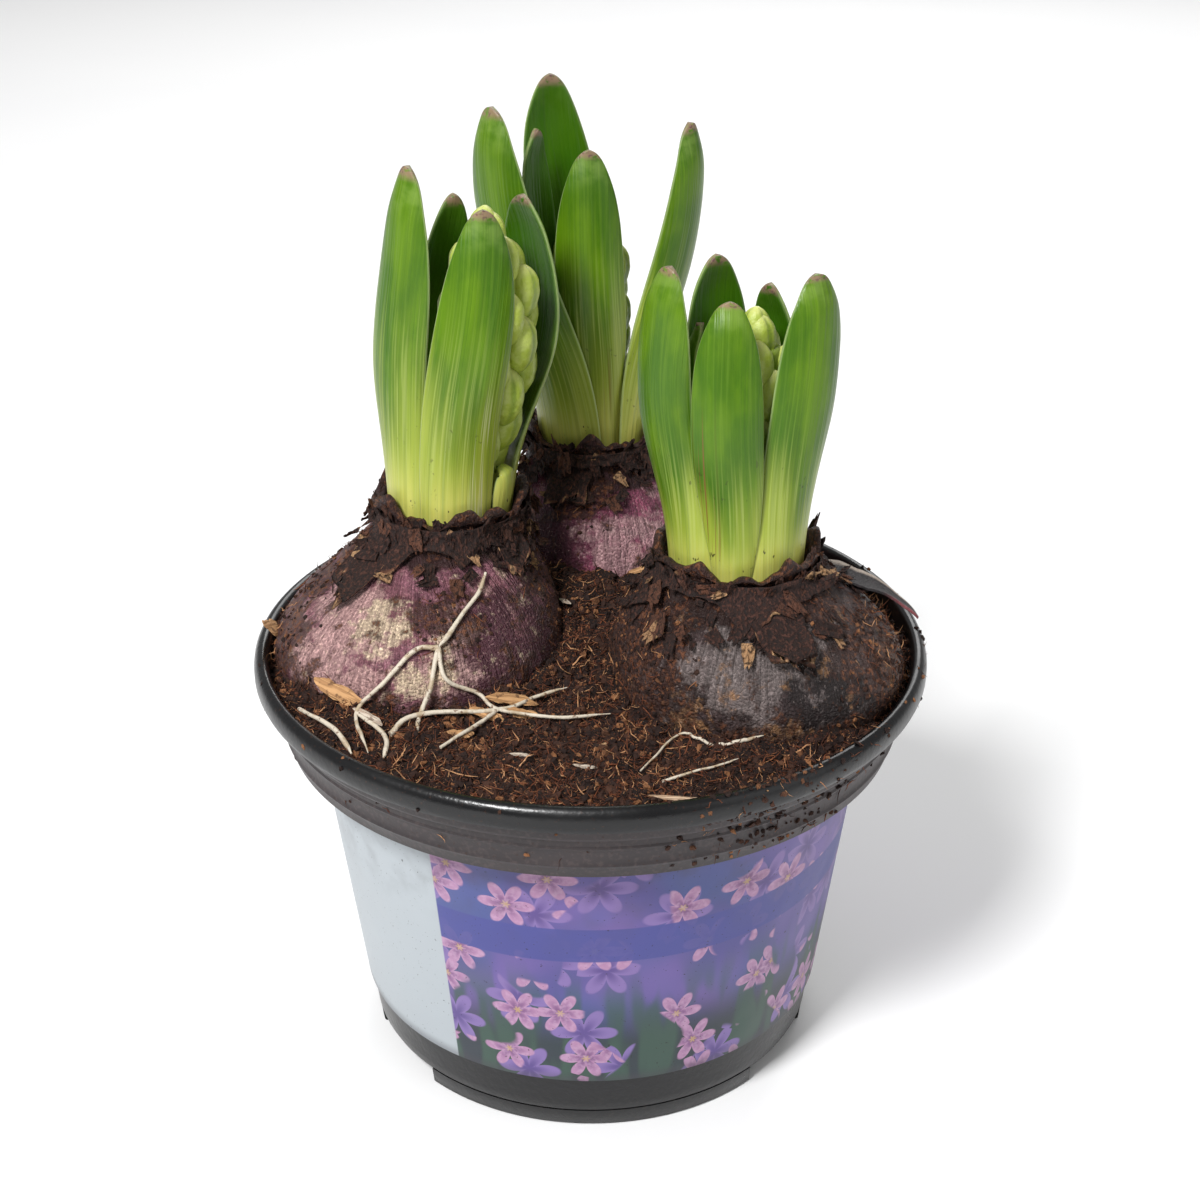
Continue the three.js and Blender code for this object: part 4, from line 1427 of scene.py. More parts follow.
@dataclass
class Bulb:
    """A bulb in its dry tunic, from the base in the soil to the torn collar and the socket of the leaves."""

    plant: PlantSizes
    basal: float = 0.68
    below_height: float = 0.75
    shoulder_top: float = 0.92
    segments: int = 240
    rows: int = 96
    rows_below: int = 26
    socket_depth: float = 4.95
    socket_flare: float = 0.75
    soil_line: float = 89.0  # soil clings to the skin below this height
    lowest_bits: float = 80.0  # no bits are strewn below this height

    def cut(self, z: Array) -> tuple[Array, Array, Array]:
        """The bulb's level cuts.

        Args:
            z: their heights.

        Returns:
            Each cut's centre, its mean radius, and its share of the way from the widest cut to the neck.
        """
        p = self.plant
        bulb, neck = np.array(p.bulb), np.array(p.neck)
        rise = (z - bulb[2]) / (neck[2] - bulb[2])
        fall = np.clip((bulb[2] - z) / (self.below_height * p.bulb_radius), 0, 1)
        share = np.cos(math.pi / 2 * np.clip(rise / self.shoulder_top, 0, 1)) ** p.shoulder_power
        below = p.bulb_radius * np.sqrt(1 - fall**2)
        radius = np.where(rise <= 0, below, mix(p.neck_radius, p.bulb_radius, share))
        centre = mix(bulb[:2], neck[:2], smooth(rise)[..., None])
        return centre, radius, rise

    def point(self, angle: Array, z: Array, offset: Array | float = 0.0) -> Array:
        """Points on the skin.

        Args:
            angle: from +X, seen from above, in radians.
            z: height.
            offset: how far the point is moved out of the skin.

        Returns:
            The points.
        """
        angle, z = np.broadcast_arrays(np.asarray(angle, float), np.asarray(z, float))
        centre, radius, rise = self.cut(z)
        phase = self.plant.phase
        lumps = (
            0.016 * np.sin(2 * angle + phase)
            + 0.012 * np.sin(3 * angle - 1.7 * phase + 2 * rise)
            + 0.006 * np.sin(7 * angle + 3 * phase - 3 * rise)
        )
        spot = in_plan(radius * (1 + lumps) + offset, angle, z)
        spot[..., :2] += centre
        return spot

    def collar_rise(self, angle: Array) -> Array:
        """Height of the torn lip above the neck."""
        p = self.plant
        wave = np.sin(5 * angle + p.collar_phase) + 0.7 * np.sin(11 * angle - 2 * p.collar_phase)
        return p.collar_height * 0.5 + p.collar_ragged * wave * 0.6

    def tear_height(self, angle: Array) -> Array:
        """Where the outer skin ends below the neck, in a ragged line."""
        ring = in_plan(1.0, angle, self.plant.phase)
        wander = 2.6 * lumpiness(ring, 0.7, 3) + 1.6 * lumpiness(ring, 0.13, 5, 2)
        return self.plant.neck[2] - 7.5 + wander

    def body(self) -> Body:
        """The whole bulb with its wrinkles, layers and marks for the finish."""
        p = self.plant
        angles = circle(self.segments)
        base = p.bulb[2] - self.basal * p.bulb_radius
        below = np.linspace(base, p.bulb[2], self.rows_below)[:-1]
        z = np.concatenate([below, np.linspace(p.bulb[2], p.neck[2], self.rows)])
        skin = self.point(angles[None, :], z[:, None])
        outward = unit(skin - np.array([*p.bulb[:2], 0])[None, None] * [1, 1, 0] - [0, 0, 1] * skin)
        under = smooth((z[:, None] - self.tear_height(angles)[None, :]) / 0.7)
        girth = in_plan(p.bulb_radius, angles[None, :], 0.12 * z[:, None])
        ribs = lumpiness(girth, 1.5, 2) * 0.12
        wrinkles = lumpiness(skin, 5, 4, 3) * 0.3
        shreds = under * (lumpiness(girth, 2.4, 8, 2) * 0.6 - 0.55)
        skin = skin + outward * (ribs + wrinkles + shreds)[..., None]
        rings = [skin]
        neck = np.array(p.neck)
        rise = self.collar_rise(angles) + 0.8 * lumpiness(in_plan(1.0, angles, 0), 0.12, 6)
        flare = 0.5 * np.sin(4 * angles + p.collar_phase)
        lip = [(p.neck_radius + 0.6, 0.4), (p.neck_radius + 0.8, 0.8), (p.neck_radius + 0.5, 1.0)]
        lip += [(p.socket + 1.6, 1.02), (p.socket + 1.1, 0.9)]
        for radius, height in lip:
            rings.append((in_plan(radius + flare * height, angles, height * rise) + neck)[None])
        for share in (0.0, 0.5, 1.0):
            radius = mix(p.socket + self.socket_flare, p.socket, share)
            rings.append((in_plan(radius, angles, -self.socket_depth * share) + neck)[None])
        rings = np.concatenate(rings)
        extra = len(rings) - len(skin)
        deep = np.ones((extra, self.segments))
        return tube(rings, self.marks(rings, np.concatenate([under, deep])))

    def marks(self, rings: Array, under: Array) -> dict[str, Array]:
        """What the finish needs to know of each point: torn layers, soil, tan patches, and pale bloom that is
        partly a painted highlight.
        """
        p = self.plant
        local = rings - np.array(p.bulb)
        meridian = np.concatenate([unit(local[..., :2]) * p.bulb_radius, 0.12 * local[..., 2:]], -1)
        side = unit(local)
        marks = {"meridian": meridian, "layer": under}
        for kind, spots in ZONES[p.name].items():
            marks[kind] = np.zeros(under.shape)
            for direction, reach in spots:
                away = np.linalg.norm(side - unit(np.array(direction)), axis=-1)
                marks[kind] = np.maximum(marks[kind], np.clip((reach - away) / 0.3 + 0.5, 0, 1))
        z = rings[..., 2]
        low = np.clip((self.soil_line - z + 2.5 * lumpiness(rings, 9, 12, 2)) / 7, 0, 1)
        high = np.clip((z - p.neck[2] + 6.5 + 3 * lumpiness(rings, 7, 13, 2)) / 4, 0, 1)
        marks["soiled"] = np.maximum(marks["soiled"], np.maximum(0.75 * low, 0.8 * high))
        return marks  # the material frays each zone's edge

    def flap(self, flap: FlapSizes) -> Body:
        """A torn flap that peels off the shoulder and points down and out."""
        u = np.linspace(-1, 1, 25)
        t = np.linspace(0, 1, 17)[:, None]
        z = self.plant.neck[2] - 1 - flap.down * t
        ragged = 1 + 0.16 * lumpiness(in_plan(1, 5 * t, flap.phase), 1.1, 3)
        width = flap.half_width * (1 - 0.25 * t**2) * ragged
        lift = mix(-0.9, flap.out, t**1.5)
        torn = lumpiness(in_plan(1.0, u * 3, flap.phase), 0.3, 4, 2)
        drop = 1.2 * t * np.sin(2.6 * u + flap.phase) + 2.2 * t**2 * torn
        angle = math.radians(flap.start) + u * width / self.cut(z)[1]
        curl = 0.5 * t * u**2 + 0.5 * t * lumpiness(in_plan(2 * u, 3 * t, 0), 0.9, 7)
        outer = self.point(angle, z - drop, lift + 0.55 + curl)
        inner = self.point(angle, z - drop, lift + 0.1 + curl)
        rings = np.concatenate([outer, inner[:, ::-1]], 1)
        edge = np.maximum(t, np.abs(np.concatenate([u, u[::-1]])) * 0.98)
        edge = smooth((edge - 0.84) / 0.12) * smooth(2 * lumpiness(rings, 1.6, 26, 2) + 0.4)
        return tube(rings, {"tone": 0.15 + 0.75 * edge})

    def torn_layer(self) -> Body:
        """The loose outer tunic round the shoulder, which ends below in a ragged edge."""
        p = self.plant
        angles = circle(260)
        ring = in_plan(1.0, angles, p.phase)
        depth = 3.2 + 1.8 * lumpiness(ring, 0.75, 21) + 1.1 * lumpiness(ring, 0.14, 22, 3)
        for middle, more in p.lobes:
            depth += more * np.exp(-((wrapped(np.degrees(angles) - middle, 360) / 9) ** 2))
        t = np.linspace(0, 1, 16)[:, None]
        z = p.neck[2] - 0.2 - np.maximum(depth, 0.8) * t
        lifted = 0.5 + 0.8 * lumpiness(in_plan(6, angles, 3 * t), 1.3, 23, 2) + 0.5 * t**3
        lifted = np.maximum(lifted, 0.1)
        outer = self.point(angles[None], z, lifted + 0.3)
        inner = self.point(angles[None], z, lifted)
        rings = np.concatenate([outer, inner[::-1]])
        edge = smooth((t - 0.82) / 0.14) * smooth(2.5 * lumpiness(ring, 0.3, 25, 2) - 0.3)
        tone = 0.25 + 0.3 * lumpiness(outer, 2.5, 24, 2) + 0.7 * edge
        tone = np.concatenate([tone, tone[::-1]]).ravel()
        faces = grid_faces(*rings.shape[:2], around=True).tolist()
        return Body(rings.reshape(-1, 3), faces, {"tone": tone}).outward()

    def build(self, finishes: "Finishes") -> Object:
        """The bulb, standing for its node."""
        p = self.plant
        piece = self.body().made(f"bulb_skin_{p.name}", finishes.tunics[p.kind])
        torn = joined([self.torn_layer(), *(self.flap(flap) for flap in p.flaps)])
        attach(torn.made(f"torn_tunic_{p.name}", finishes.torn), p.slot)
        return attach(piece, p.slot, f"bulb_{p.name}")

    def cover(self) -> Body:
        """The skin as a surface to strew crumbs on, thick near the soil and round the neck."""
        body = self.body()
        height = body.points[:, 2]
        strewn = (height > self.lowest_bits) & (height < self.plant.neck[2] - 1)
        cover = np.clip(body.marks["soiled"] - 0.15 * body.marks["layer"], 0, 1) ** 1.5
        body.marks = {"cover": np.where(strewn, cover, 0)}
        return body


@dataclass
class SprungFlake:
    """The large flake of tunic that has sprung away from the right bulb's shoulder."""

    start: tuple[float, float, float] = (40.5, -9.2, 101.2)
    middle: tuple[float, float, float] = (52.6, -7.6, 98.8)
    end: tuple[float, float, float] = (62.0, -6.2, 91.4)
    normal: tuple[float, float, float] = (0.48, 0.1, 0.87)
    side: tuple[float, float, float] = (-0.15, 1.0, 0.0)
    widest: float = 5.2
    thickness: float = 0.5

    def build(self, finish: Material) -> Object:
        """The flake as one closed, slightly channelled and ragged piece."""
        t = np.linspace(0, 1, 34)
        u = np.linspace(-1, 1, 19)
        route = tuple(np.array(p) for p in (self.start, self.middle, self.end))
        spine = parabola(route, t)[:, None]
        ragged = 1 + 0.2 * np.sign(u) * lumpiness(in_plan(1, 9 * t, 0), 0.7, 2, 3)[:, None]
        width = mix(self.widest, 1.6, t**1.6)[:, None] * ragged
        normal, side = unit(np.array(self.normal)), unit(np.array(self.side))
        bow = 1.1 * u**2 * (1 - t[:, None]) + 0.35 * lumpiness(spine, 4, 3)
        middle = spine + side * (u * width)[..., None] + normal * bow[..., None]
        rings = [middle + normal * (face * self.thickness / 2) for face in (1, -1)]
        rings = np.concatenate([rings[0], rings[1][:, ::-1]], 1)
        shape = rings.shape[:2]
        across = np.broadcast_to(np.concatenate([u, u[::-1]]), shape)
        along = np.broadcast_to(t[:, None], shape)
        piece = tube(rings, {"across": across, "along": along}).made("sprung_flake", finish)
        return attach(piece, "bulb_skin_slate")


@dataclass
class Leaf:
    """One fleshy, channelled leaf with a hooded tip."""

    plant: PlantSizes
    sizes: LeafSizes
    index: int
    depth: float = 4.6
    base_thickness: float = 2.4
    tip_thickness: float = 1.4
    edge_thickness: float = 0.8
    upright: float = 0.11
    hood: float = 1.6
    rows: int = 96
    columns: int = 60

    def midrib(self, t: Array) -> Array:
        """Points on the midrib at a share t of its length."""
        neck, leaf = np.array(self.plant.neck), self.sizes
        base = in_plan(leaf.ring, math.radians(leaf.start), -self.depth) + neck
        route = (base, neck + np.array(leaf.mid), neck + np.array(leaf.tip))
        point = parabola(route, t - self.upright * np.sin(FULL_TURN * t))
        point[..., 2] = parabola(route, t)[..., 2]
        inward = in_plan(-self.hood * smooth((t - 0.8) / 0.2) ** 2, math.radians(leaf.facing), 0)
        return point + inward

    def half_width(self, t: Array) -> Array:
        """Half the width: a sheathing base, parallel sides and a blunt tip."""
        leaf = self.sizes
        foot = leaf.half_width * mix(leaf.sheath, 1, np.sin(math.pi * np.minimum(t, 0.5)))
        top = leaf.half_width * np.maximum(1 - np.maximum(2 * t - 1, 0) ** 2.25, 0) ** 0.56
        return np.where(t < 0.5, foot, top)

    def stripe(self, u: Array, t: Array, zone: tuple[float, float]) -> Array:
        """1 in a stripe at a zone's place across the leaf, from the foot as far up as the zone reaches."""
        place, reach = zone
        return smooth((0.38 - np.abs(u - place)) / 0.3) * smooth((reach - t) / 0.2)

    def body(self) -> Body:
        """The blade with rounded margins and its marks for the finish."""
        leaf = self.sizes
        t = np.sin(math.pi / 2 * np.linspace(0, 1, self.rows + 1)[:-1])[:, None]
        turn = circle(self.columns)[None, :]
        u, face = np.cos(turn), np.tanh(4 * np.sin(turn)) / math.tanh(4)
        step = 0.01
        along = unit(self.midrib(t[:, 0] + step) - self.midrib(t[:, 0] - step))[:, None]
        opened = smooth(t / 0.5)
        facing = np.radians(mix(leaf.start, leaf.facing, opened))
        outward = in_plan(1.0, facing, 0)
        outward = unit(outward - along * (outward * along).sum(-1, keepdims=True))
        side = np.cross(along, outward)
        channel = mix(leaf.ring, 1.32 * leaf.half_width, opened) * mix(1, 0.55, smooth((t - 0.72) / 0.28))
        width = self.half_width(t)
        angle = u * width / channel
        fleshy = mix(mix(self.base_thickness, self.tip_thickness, t), self.edge_thickness, u * u)
        spine = self.midrib(t[:, 0])[:, None]
        seed = 10 * self.index + len(self.plant.name)
        wave = 0.22 * lumpiness(np.broadcast_to(spine, (*angle.shape, 3)), 13, seed) * u * opened
        radius = channel + face * fleshy / 2 + wave
        back = (radius * np.cos(angle) - channel)[..., None]
        rings = spine + side * (radius * np.sin(angle))[..., None] + outward * back
        length = np.linalg.norm(np.diff(self.midrib(t[:, 0]), axis=0), axis=-1).sum()
        full = np.ones(angle.shape)
        marks = {
            "along": t * leaf.green * full,
            "rise": t * leaf.green / leaf.foot * full,
            "across": u * full,
            # inner: 1 on the inner face of the channel, which the finish darkens as painted shade
            "inner": smooth(-face * 3 * smooth((t - 0.12) / 0.2)) * full,
            "pale": self.stripe(u, t, leaf.pale),
            "rusty": self.stripe(u, t, leaf.rusty) * smooth((t - 0.08) / 0.1),
            "blade": np.stack([u * width + 40 * seed, t * length * full, face * 3 * full], -1),
        }
        return tube(rings, marks, ends=(None, self.midrib(np.array(1.0))))

    def build(self, finish: Material) -> Object:
        """The leaf, standing for its node."""
        name = f"{self.plant.name}_{self.index}"
        return attach(self.body().made(f"leaf_blade_{name}", finish), "leaf_green", f"leaf_{name}")


@dataclass
class FlowerSpike:
    """The scape and its closed buds, set round it by the golden angle."""

    plant: PlantSizes
    radius: float = 3.5
    length: float = 12.0
    stalk: float = 4.4
    depth: float = 4.6
    core_top: float = 0.84  # where along the scape its core ends, under the topmost buds
    first_bud: float = 0.22
    golden_angle: float = 137.5
    kinds: int = 3  # shapes of bud

    def axis(self, t: Array) -> Array:
        """Points on the scape's axis."""
        p, neck = self.plant, np.array(self.plant.neck)
        route = (neck - [0, 0, self.depth], neck + np.array(p.spike_mid), neck + np.array(p.spike_tip))
        return parabola(route, np.asarray(t, float))

    def core_radius(self, t: Array) -> Array:
        """Radius of the scape: a bare stalk, then the cone that carries the buds."""
        swell = mix(self.stalk, self.plant.spike_radius, smooth((t - 0.2) / 0.25))
        return np.where(t < 0.2, self.stalk, swell * np.sqrt(1 - 0.75 * smooth((t - 0.62) / 0.45)))

    def core(self) -> Body:
        """The scape itself, which shows only between buds."""
        t = np.linspace(0, self.core_top, 40)
        rings = in_plan((self.core_radius(t) - 0.5)[:, None], circle(36)[None], 0) + self.axis(t)[:, None]
        full = np.ones(rings.shape[:2])
        return tube(rings, {"groove": 0.8 * full, "rise": 0.3 * full, "tone": 0.7 * full})

    def bud(self, kind: int) -> Body:
        """A closed bud: six grooved tepals that close in a small blunt tip."""
        s = np.linspace(0, 1, 17)[:, None]
        turn = circle(30)[None]
        at = [0, 0.1, 0.3, 0.55, 0.78, 0.9, 0.97, 1]
        fat = np.interp(s, at, [0.3, 0.62, 0.92, 1, 0.88, 0.62, 0.36, 0.16])
        tepal = np.abs(np.sin(1.5 * turn + 0.4 * kind))
        depth = 0.16 * smooth(s / 0.3) * (1 + 0.4 * smooth((s - 0.7) / 0.3))
        radius = self.radius * fat * (1 - depth * (1 - tepal) ** 2.2)
        bend = 0.5 * (s - 0.4) ** 2 * (1 + 0.3 * kind)
        rings = in_plan(radius, turn, (s - 0.5) * self.length)
        rings[..., 0] -= bend * 2
        rings += 0.12 * np.stack([lumpiness(rings, 3, kind + i, 2) for i in range(3)], -1)
        shape = rings.shape[:2]
        marks = {"groove": (1 - tepal) ** 1.6 * np.ones(shape), "rise": np.broadcast_to(s, shape)}
        return tube(rings, marks)

    def spots(self) -> Spots:
        """Where the buds stand, and how they lean."""
        p, spots = self.plant, Spots()
        for i in range(p.buds):
            share = i / (p.buds - 1)
            t = mix(self.first_bud, p.bud_top, share)
            size = mix(1, 0.8, share**2)
            angle = math.radians(i * self.golden_angle + p.bud_turn)
            closing = smooth((share - 0.8) / 0.2)
            lean = mix(mix(0.26, 0.1, share), 0.02, closing)
            out = (self.core_radius(t) - 0.4) * (1 - 0.85 * closing)
            place = self.axis(t) + in_plan(out, angle, 1.5 * closing)
            spots.add(place, i % self.kinds, (0.0, lean, angle), (size, size, size), (i * 0.37) % 1)
        return spots

    def build(self, builds: NodeBuilds, kinds: Collection, finish: Material) -> None:
        """The scape and its buds, standing for their node."""
        name = self.plant.name
        scape = self.core().made(f"scape_{name}", finish)
        attach(scape, "bud_green", f"flower_spike_{name}")
        attach(builds.place(self.spots(), f"buds_{name}", kinds, finish), "bud_green")


@dataclass
class TornCollar:
    """The shreds of old tunic that stand and hang round a neck."""

    plant: PlantSizes
    standing: int = 42
    lying: int = 110
    seed: int = 5
    kinds: int = 8  # shapes of shred

    @staticmethod
    def shred(kind: int) -> Body:
        """A ragged shred, its foot at the origin, its length up Z and its face towards X."""
        rng = np.random.default_rng(40 + kind)
        columns, rows = 7, 6
        v = np.linspace(0, 1, rows)[:, None]
        u = np.linspace(-1, 1, columns)[None, :]
        reach = 1 + 0.45 * rng.uniform(-1, 0.6, columns)[None, :]
        width = rng.uniform(1.2, 2.6) * (1 - 0.35 * v * rng.uniform(0, 1.4))
        width = width + 0.2 * rng.normal(size=(rows, 1))
        length = rng.uniform(4.5, 7.5)
        curl = rng.uniform(0.3, 1.3) * v**2 + 0.5 * u**2 * rng.uniform(-1, 1)
        curl = curl + 0.18 * rng.normal(size=(rows, columns))
        middle = np.stack([curl + 0 * u, u * width, v * reach * length + 0 * u], -1)
        thick = np.array([0.16, 0, 0])
        return tube(np.concatenate([middle + thick, (middle - thick)[:, ::-1]], 1))

    def spots(self) -> Spots:
        """Shreds that stand in the lip, and shreds that lie down the shoulder."""
        p, spots = self.plant, Spots()
        bulb = Bulb(p)
        rng = np.random.default_rng(self.seed + len(p.name))
        neck = np.array(p.neck)
        for i in range(self.standing):
            angle = FULL_TURN * (i + rng.uniform(-0.4, 0.4)) / self.standing
            place = in_plan(p.neck_radius + rng.uniform(-0.5, 0.4), angle, rng.uniform(-3.5, -0.8)) + neck
            turn = (rng.uniform(-0.5, 0.5), rng.uniform(-0.1, 0.35), angle + rng.uniform(-0.4, 0.4))
            size = rng.uniform(0.3, 0.72)
            spots.add(place, int(rng.integers(self.kinds)), turn, (size, size, size), rng.uniform(0, 0.75))
        for i in range(self.lying):
            angle = np.array(FULL_TURN * (i + rng.uniform(-0.5, 0.5)) / self.lying)
            z = np.array(neck[2] - 9.5 * rng.uniform(0, 1) ** 1.3)
            place = bulb.point(angle, z, rng.uniform(0.5, 1.3))
            around = bulb.point(angle + 0.05, z, 0) - bulb.point(angle - 0.05, z, 0)
            down = bulb.point(angle, z - 1, 0) - bulb.point(angle, z + 1, 0)
            sway = rng.uniform(-1.5, 1.5)
            along = unit(down) * math.cos(sway) + unit(around) * math.sin(sway)
            normal = unit(unit(np.cross(around, -down)) + 0.22 * rng.normal(size=3))
            size = rng.uniform(0.25, 0.8)
            tone = rng.uniform(0, 0.7) if rng.uniform() < 0.85 else rng.uniform(0.75, 1)
            spots.add(place, int(rng.integers(self.kinds)), turned(normal, along), (size, size, size), tone)
        return spots

    def build(self, builds: NodeBuilds, kinds: Collection, finish: Material) -> None:
        """The shreds of one collar."""
        name = f"collar_shreds_{self.plant.name}"
        attach(builds.place(self.spots(), name, kinds, finish), self.plant.slot)


# Soil and what lies on it


@dataclass
class PottingSoil:
    """The soil in the pot, with its crumbly surface, and the bits strewn over it."""

    sizes: SoilSizes = SOIL
    pot: PotSizes = POT
    columns: int = 440
    rows: int = 150
    kinds: int = 8  # shapes of fibre, and as many of crumb

    def surface(self, x: Array, y: Array) -> Array:
        """Height of the crumbly surface."""
        flat = np.stack([x, y, np.zeros_like(x)], -1)
        clods = lumpiness(flat, 5.5, 1, 2) + 0.8 * lumpiness(flat, 1.9, 2, 2) + 0.4 * lumpiness(flat, 0.9, 3)
        banked = 0.0
        for plant in (LEFT, RIGHT, BACK):
            banked = banked + 1.6 * smooth(1 - plant.gap(x, y) / 6) * (0.6 + 0.8 * lumpiness(flat, 7, 6))
        edge = smooth((np.hypot(x, y) - self.sizes.edge + 6) / 6)
        return self.sizes.height(x, y) + clods * (1 - 0.4 * edge) + banked * (1 - edge) - 0.2 - 0.9 * edge

    def body(self) -> Body:
        """The soil as one closed body that fills the pot."""
        s, pot = self.sizes, self.pot
        angles = circle(self.columns)[None]
        radius = s.edge * np.linspace(0.006, 1, self.rows)[:, None] ** 0.8
        x, y = radius * np.cos(angles), radius * np.sin(angles)
        top = np.stack([x, y, self.surface(x, y)], -1)
        wall = []
        for z in (pot.band_bottom + 7.4, pot.band_bottom + 1.6, pot.band_bottom + 1.2, 30.0, 4.55):
            inside = pot.radius_at(z) - pot.wall - s.clearance
            reach = min(pot.band_radius - 0.1, s.edge) if z > 70 else inside
            reach = pot.band_radius - pot.wall - 1.4 if 68.4 < z < 70 else reach
            wall.append(in_plan(reach, angles[0], z)[None])
        return tube(np.concatenate([top, *wall]))

    def cover(self) -> Body:
        """The open surface, to strew bits on."""
        angles = circle(120)[None]
        radius = (self.sizes.edge + 0.6) * np.linspace(0.02, 1, 44)[:, None]
        x, y = radius * np.cos(angles), radius * np.sin(angles)
        points = np.stack([x, y, self.surface(x, y)], -1)
        hidden = np.zeros_like(x)
        for plant in (LEFT, RIGHT, BACK):
            hidden = np.maximum(hidden, smooth((1.0 - plant.gap(x, y)) / 1.5))
        patchy = 0.55 + 0.45 * smooth(lumpiness(points, 11, 9, 2) + 0.6)
        return self.strewn(points, (1 - hidden) * patchy)

    @staticmethod
    def strewn(points: Array, cover: Array) -> Body:
        """A grid of points as a surface that faces up, with how thickly its bits lie."""
        faces = [face[::-1] for face in grid_faces(*points.shape[:2]).tolist()]
        return Body(points.reshape(-1, 3), faces, {"cover": cover.ravel()})

    @staticmethod
    def fibre(kind: int) -> Body:
        """A curved peat fibre that lies along X."""
        rng = np.random.default_rng(70 + kind)
        t = np.linspace(-1, 1, 6)
        length, thick = rng.uniform(1.6, 3.2), rng.uniform(0.09, 0.17)
        bend, twist = rng.uniform(-0.9, 0.9), rng.uniform(0.1, 0.6)
        spine = np.stack([t * length, bend * t**2 + 0.3 * rng.normal(size=6), twist * t**2 + 0.12], -1)
        turn = np.array([0, 2.1, 4.2])
        section = np.stack([0 * turn, np.cos(turn), np.sin(turn)], -1)
        size = thick * (1.15 - t**2)[:, None, None]
        return tube(spine[:, None] + section[None] * size)

    @staticmethod
    def crumb(kind: int) -> Body:
        """An angular crumb with 20 faces or so."""
        rng = np.random.default_rng(90 + kind)
        turn = circle(5)
        rings = []
        for level, reach in ((-0.55, 0.7), (0.1, 1.0), (0.6, 0.6)):
            wobble = 1 + 0.35 * rng.uniform(-1, 1, 5)
            rings.append(in_plan(reach * wobble, turn + level, level + 0.15 * rng.uniform(-1, 1, 5)))
        return tube(np.stack(rings) * rng.uniform(0.6, 1.1, 3) * 0.5)

    def strew(self, builds: NodeBuilds, finishes: "Finishes") -> None:
        """Strews fibres and crumbs over the soil, the bulbs and the rim."""
        fibres = collection_of("fibre_kinds", self.fibre, self.kinds), finishes.fibre
        crumbs = collection_of("crumb_kinds", self.crumb, self.kinds, soft=False), finishes.crumb
        surface, rim = self.cover(), self.rim_cover()
        # Each job is a name, a surface, its bits, bits to the square metre, least and greatest size,
        # tilt in radians and seed.
        jobs = [
            ("peat_fibres", surface, fibres, 5.2e5, 0.5, 1.15, 0.75, 1),
            ("short_fibres", surface, fibres, 7e5, 0.3, 0.7, 0.9, 3),
            ("fine_fibres", surface, fibres, 7e5, 0.3, 0.7, 0.9, 4),
            ("peat_crumbs", surface, crumbs, 6e5, 0.7, 2.2, 1.5, 2),
        ]
        for plant, thick in ((LEFT, 0.75), (RIGHT, 1.3), (BACK, 0.8)):
            name, cover, seed = plant.name, Bulb(plant).cover(), 11 + len(plant.name)
            jobs.append((f"bulb_fibres_{name}", cover, fibres, thick * 2.2e5, 0.35, 0.8, 0.6, seed))
            jobs.append((f"bulb_crumbs_{name}", cover, crumbs, thick * 5e5, 0.4, 1.2, 0.6, seed + 1))
        jobs.append(("rim_crumbs", rim, crumbs, 9e5, 0.35, 1.6, 1.2, 31))
        jobs.append(("rim_fibres", rim, fibres, 3e5, 0.3, 0.8, 0.5, 32))
        for name, cover, (kinds, finish), density, small, large, tilt, seed in jobs:
            inputs = {"Density": density, "Smallest": small, "Largest": large, "Tilt": tilt, "Seed": seed}
            host = cover.made(name + "_host")
            piece = builds.run(builds.scatter, host, name, Kinds=kinds, Material=finish, **inputs)
            attach(piece, "potting_soil")

    def rim_cover(self) -> Body:
        """The rim and the band as a surface, thickly covered at the front right."""
        pot = self.pot
        angles = circle(180)
        rim, band = pot.rim_radius, pot.band_radius
        profile = [(rim - 2.3, pot.height - 0.4), (rim - 1.4, pot.height), (rim - 0.3, 83.2), (rim, 81.5)]
        profile += [(rim, 80.6), (band + 2.9, 78.6), (band + 1.4, 75.2), (band + 0.6, 71.5), (band, 68.2)]
        rings = np.stack([in_plan(radius, angles, z) for radius, z in profile])
        spill = 0.0
        for middle, width, share in ((-58, 0.22, 1.0), (-8, 0.35, 0.1)):
            away = wrapped(angles[None] - math.radians(middle), FULL_TURN)
            spill = spill + share * np.exp(-((away / width) ** 2))
        flat = np.array([0.5, 0.9, 0.6, 0.15, 0.15, 0.9, 0.5, 0.35, 0.35])[:, None]
        return self.strewn(rings, (spill + 0.03) * flat)

    def build(self, builds: NodeBuilds, finishes: "Finishes") -> None:
        """The soil, standing for its node, and its bits."""
        attach(self.body().made("potting_soil", finishes.soil), "potting_soil", "soil")
        self.strew(builds, finishes)


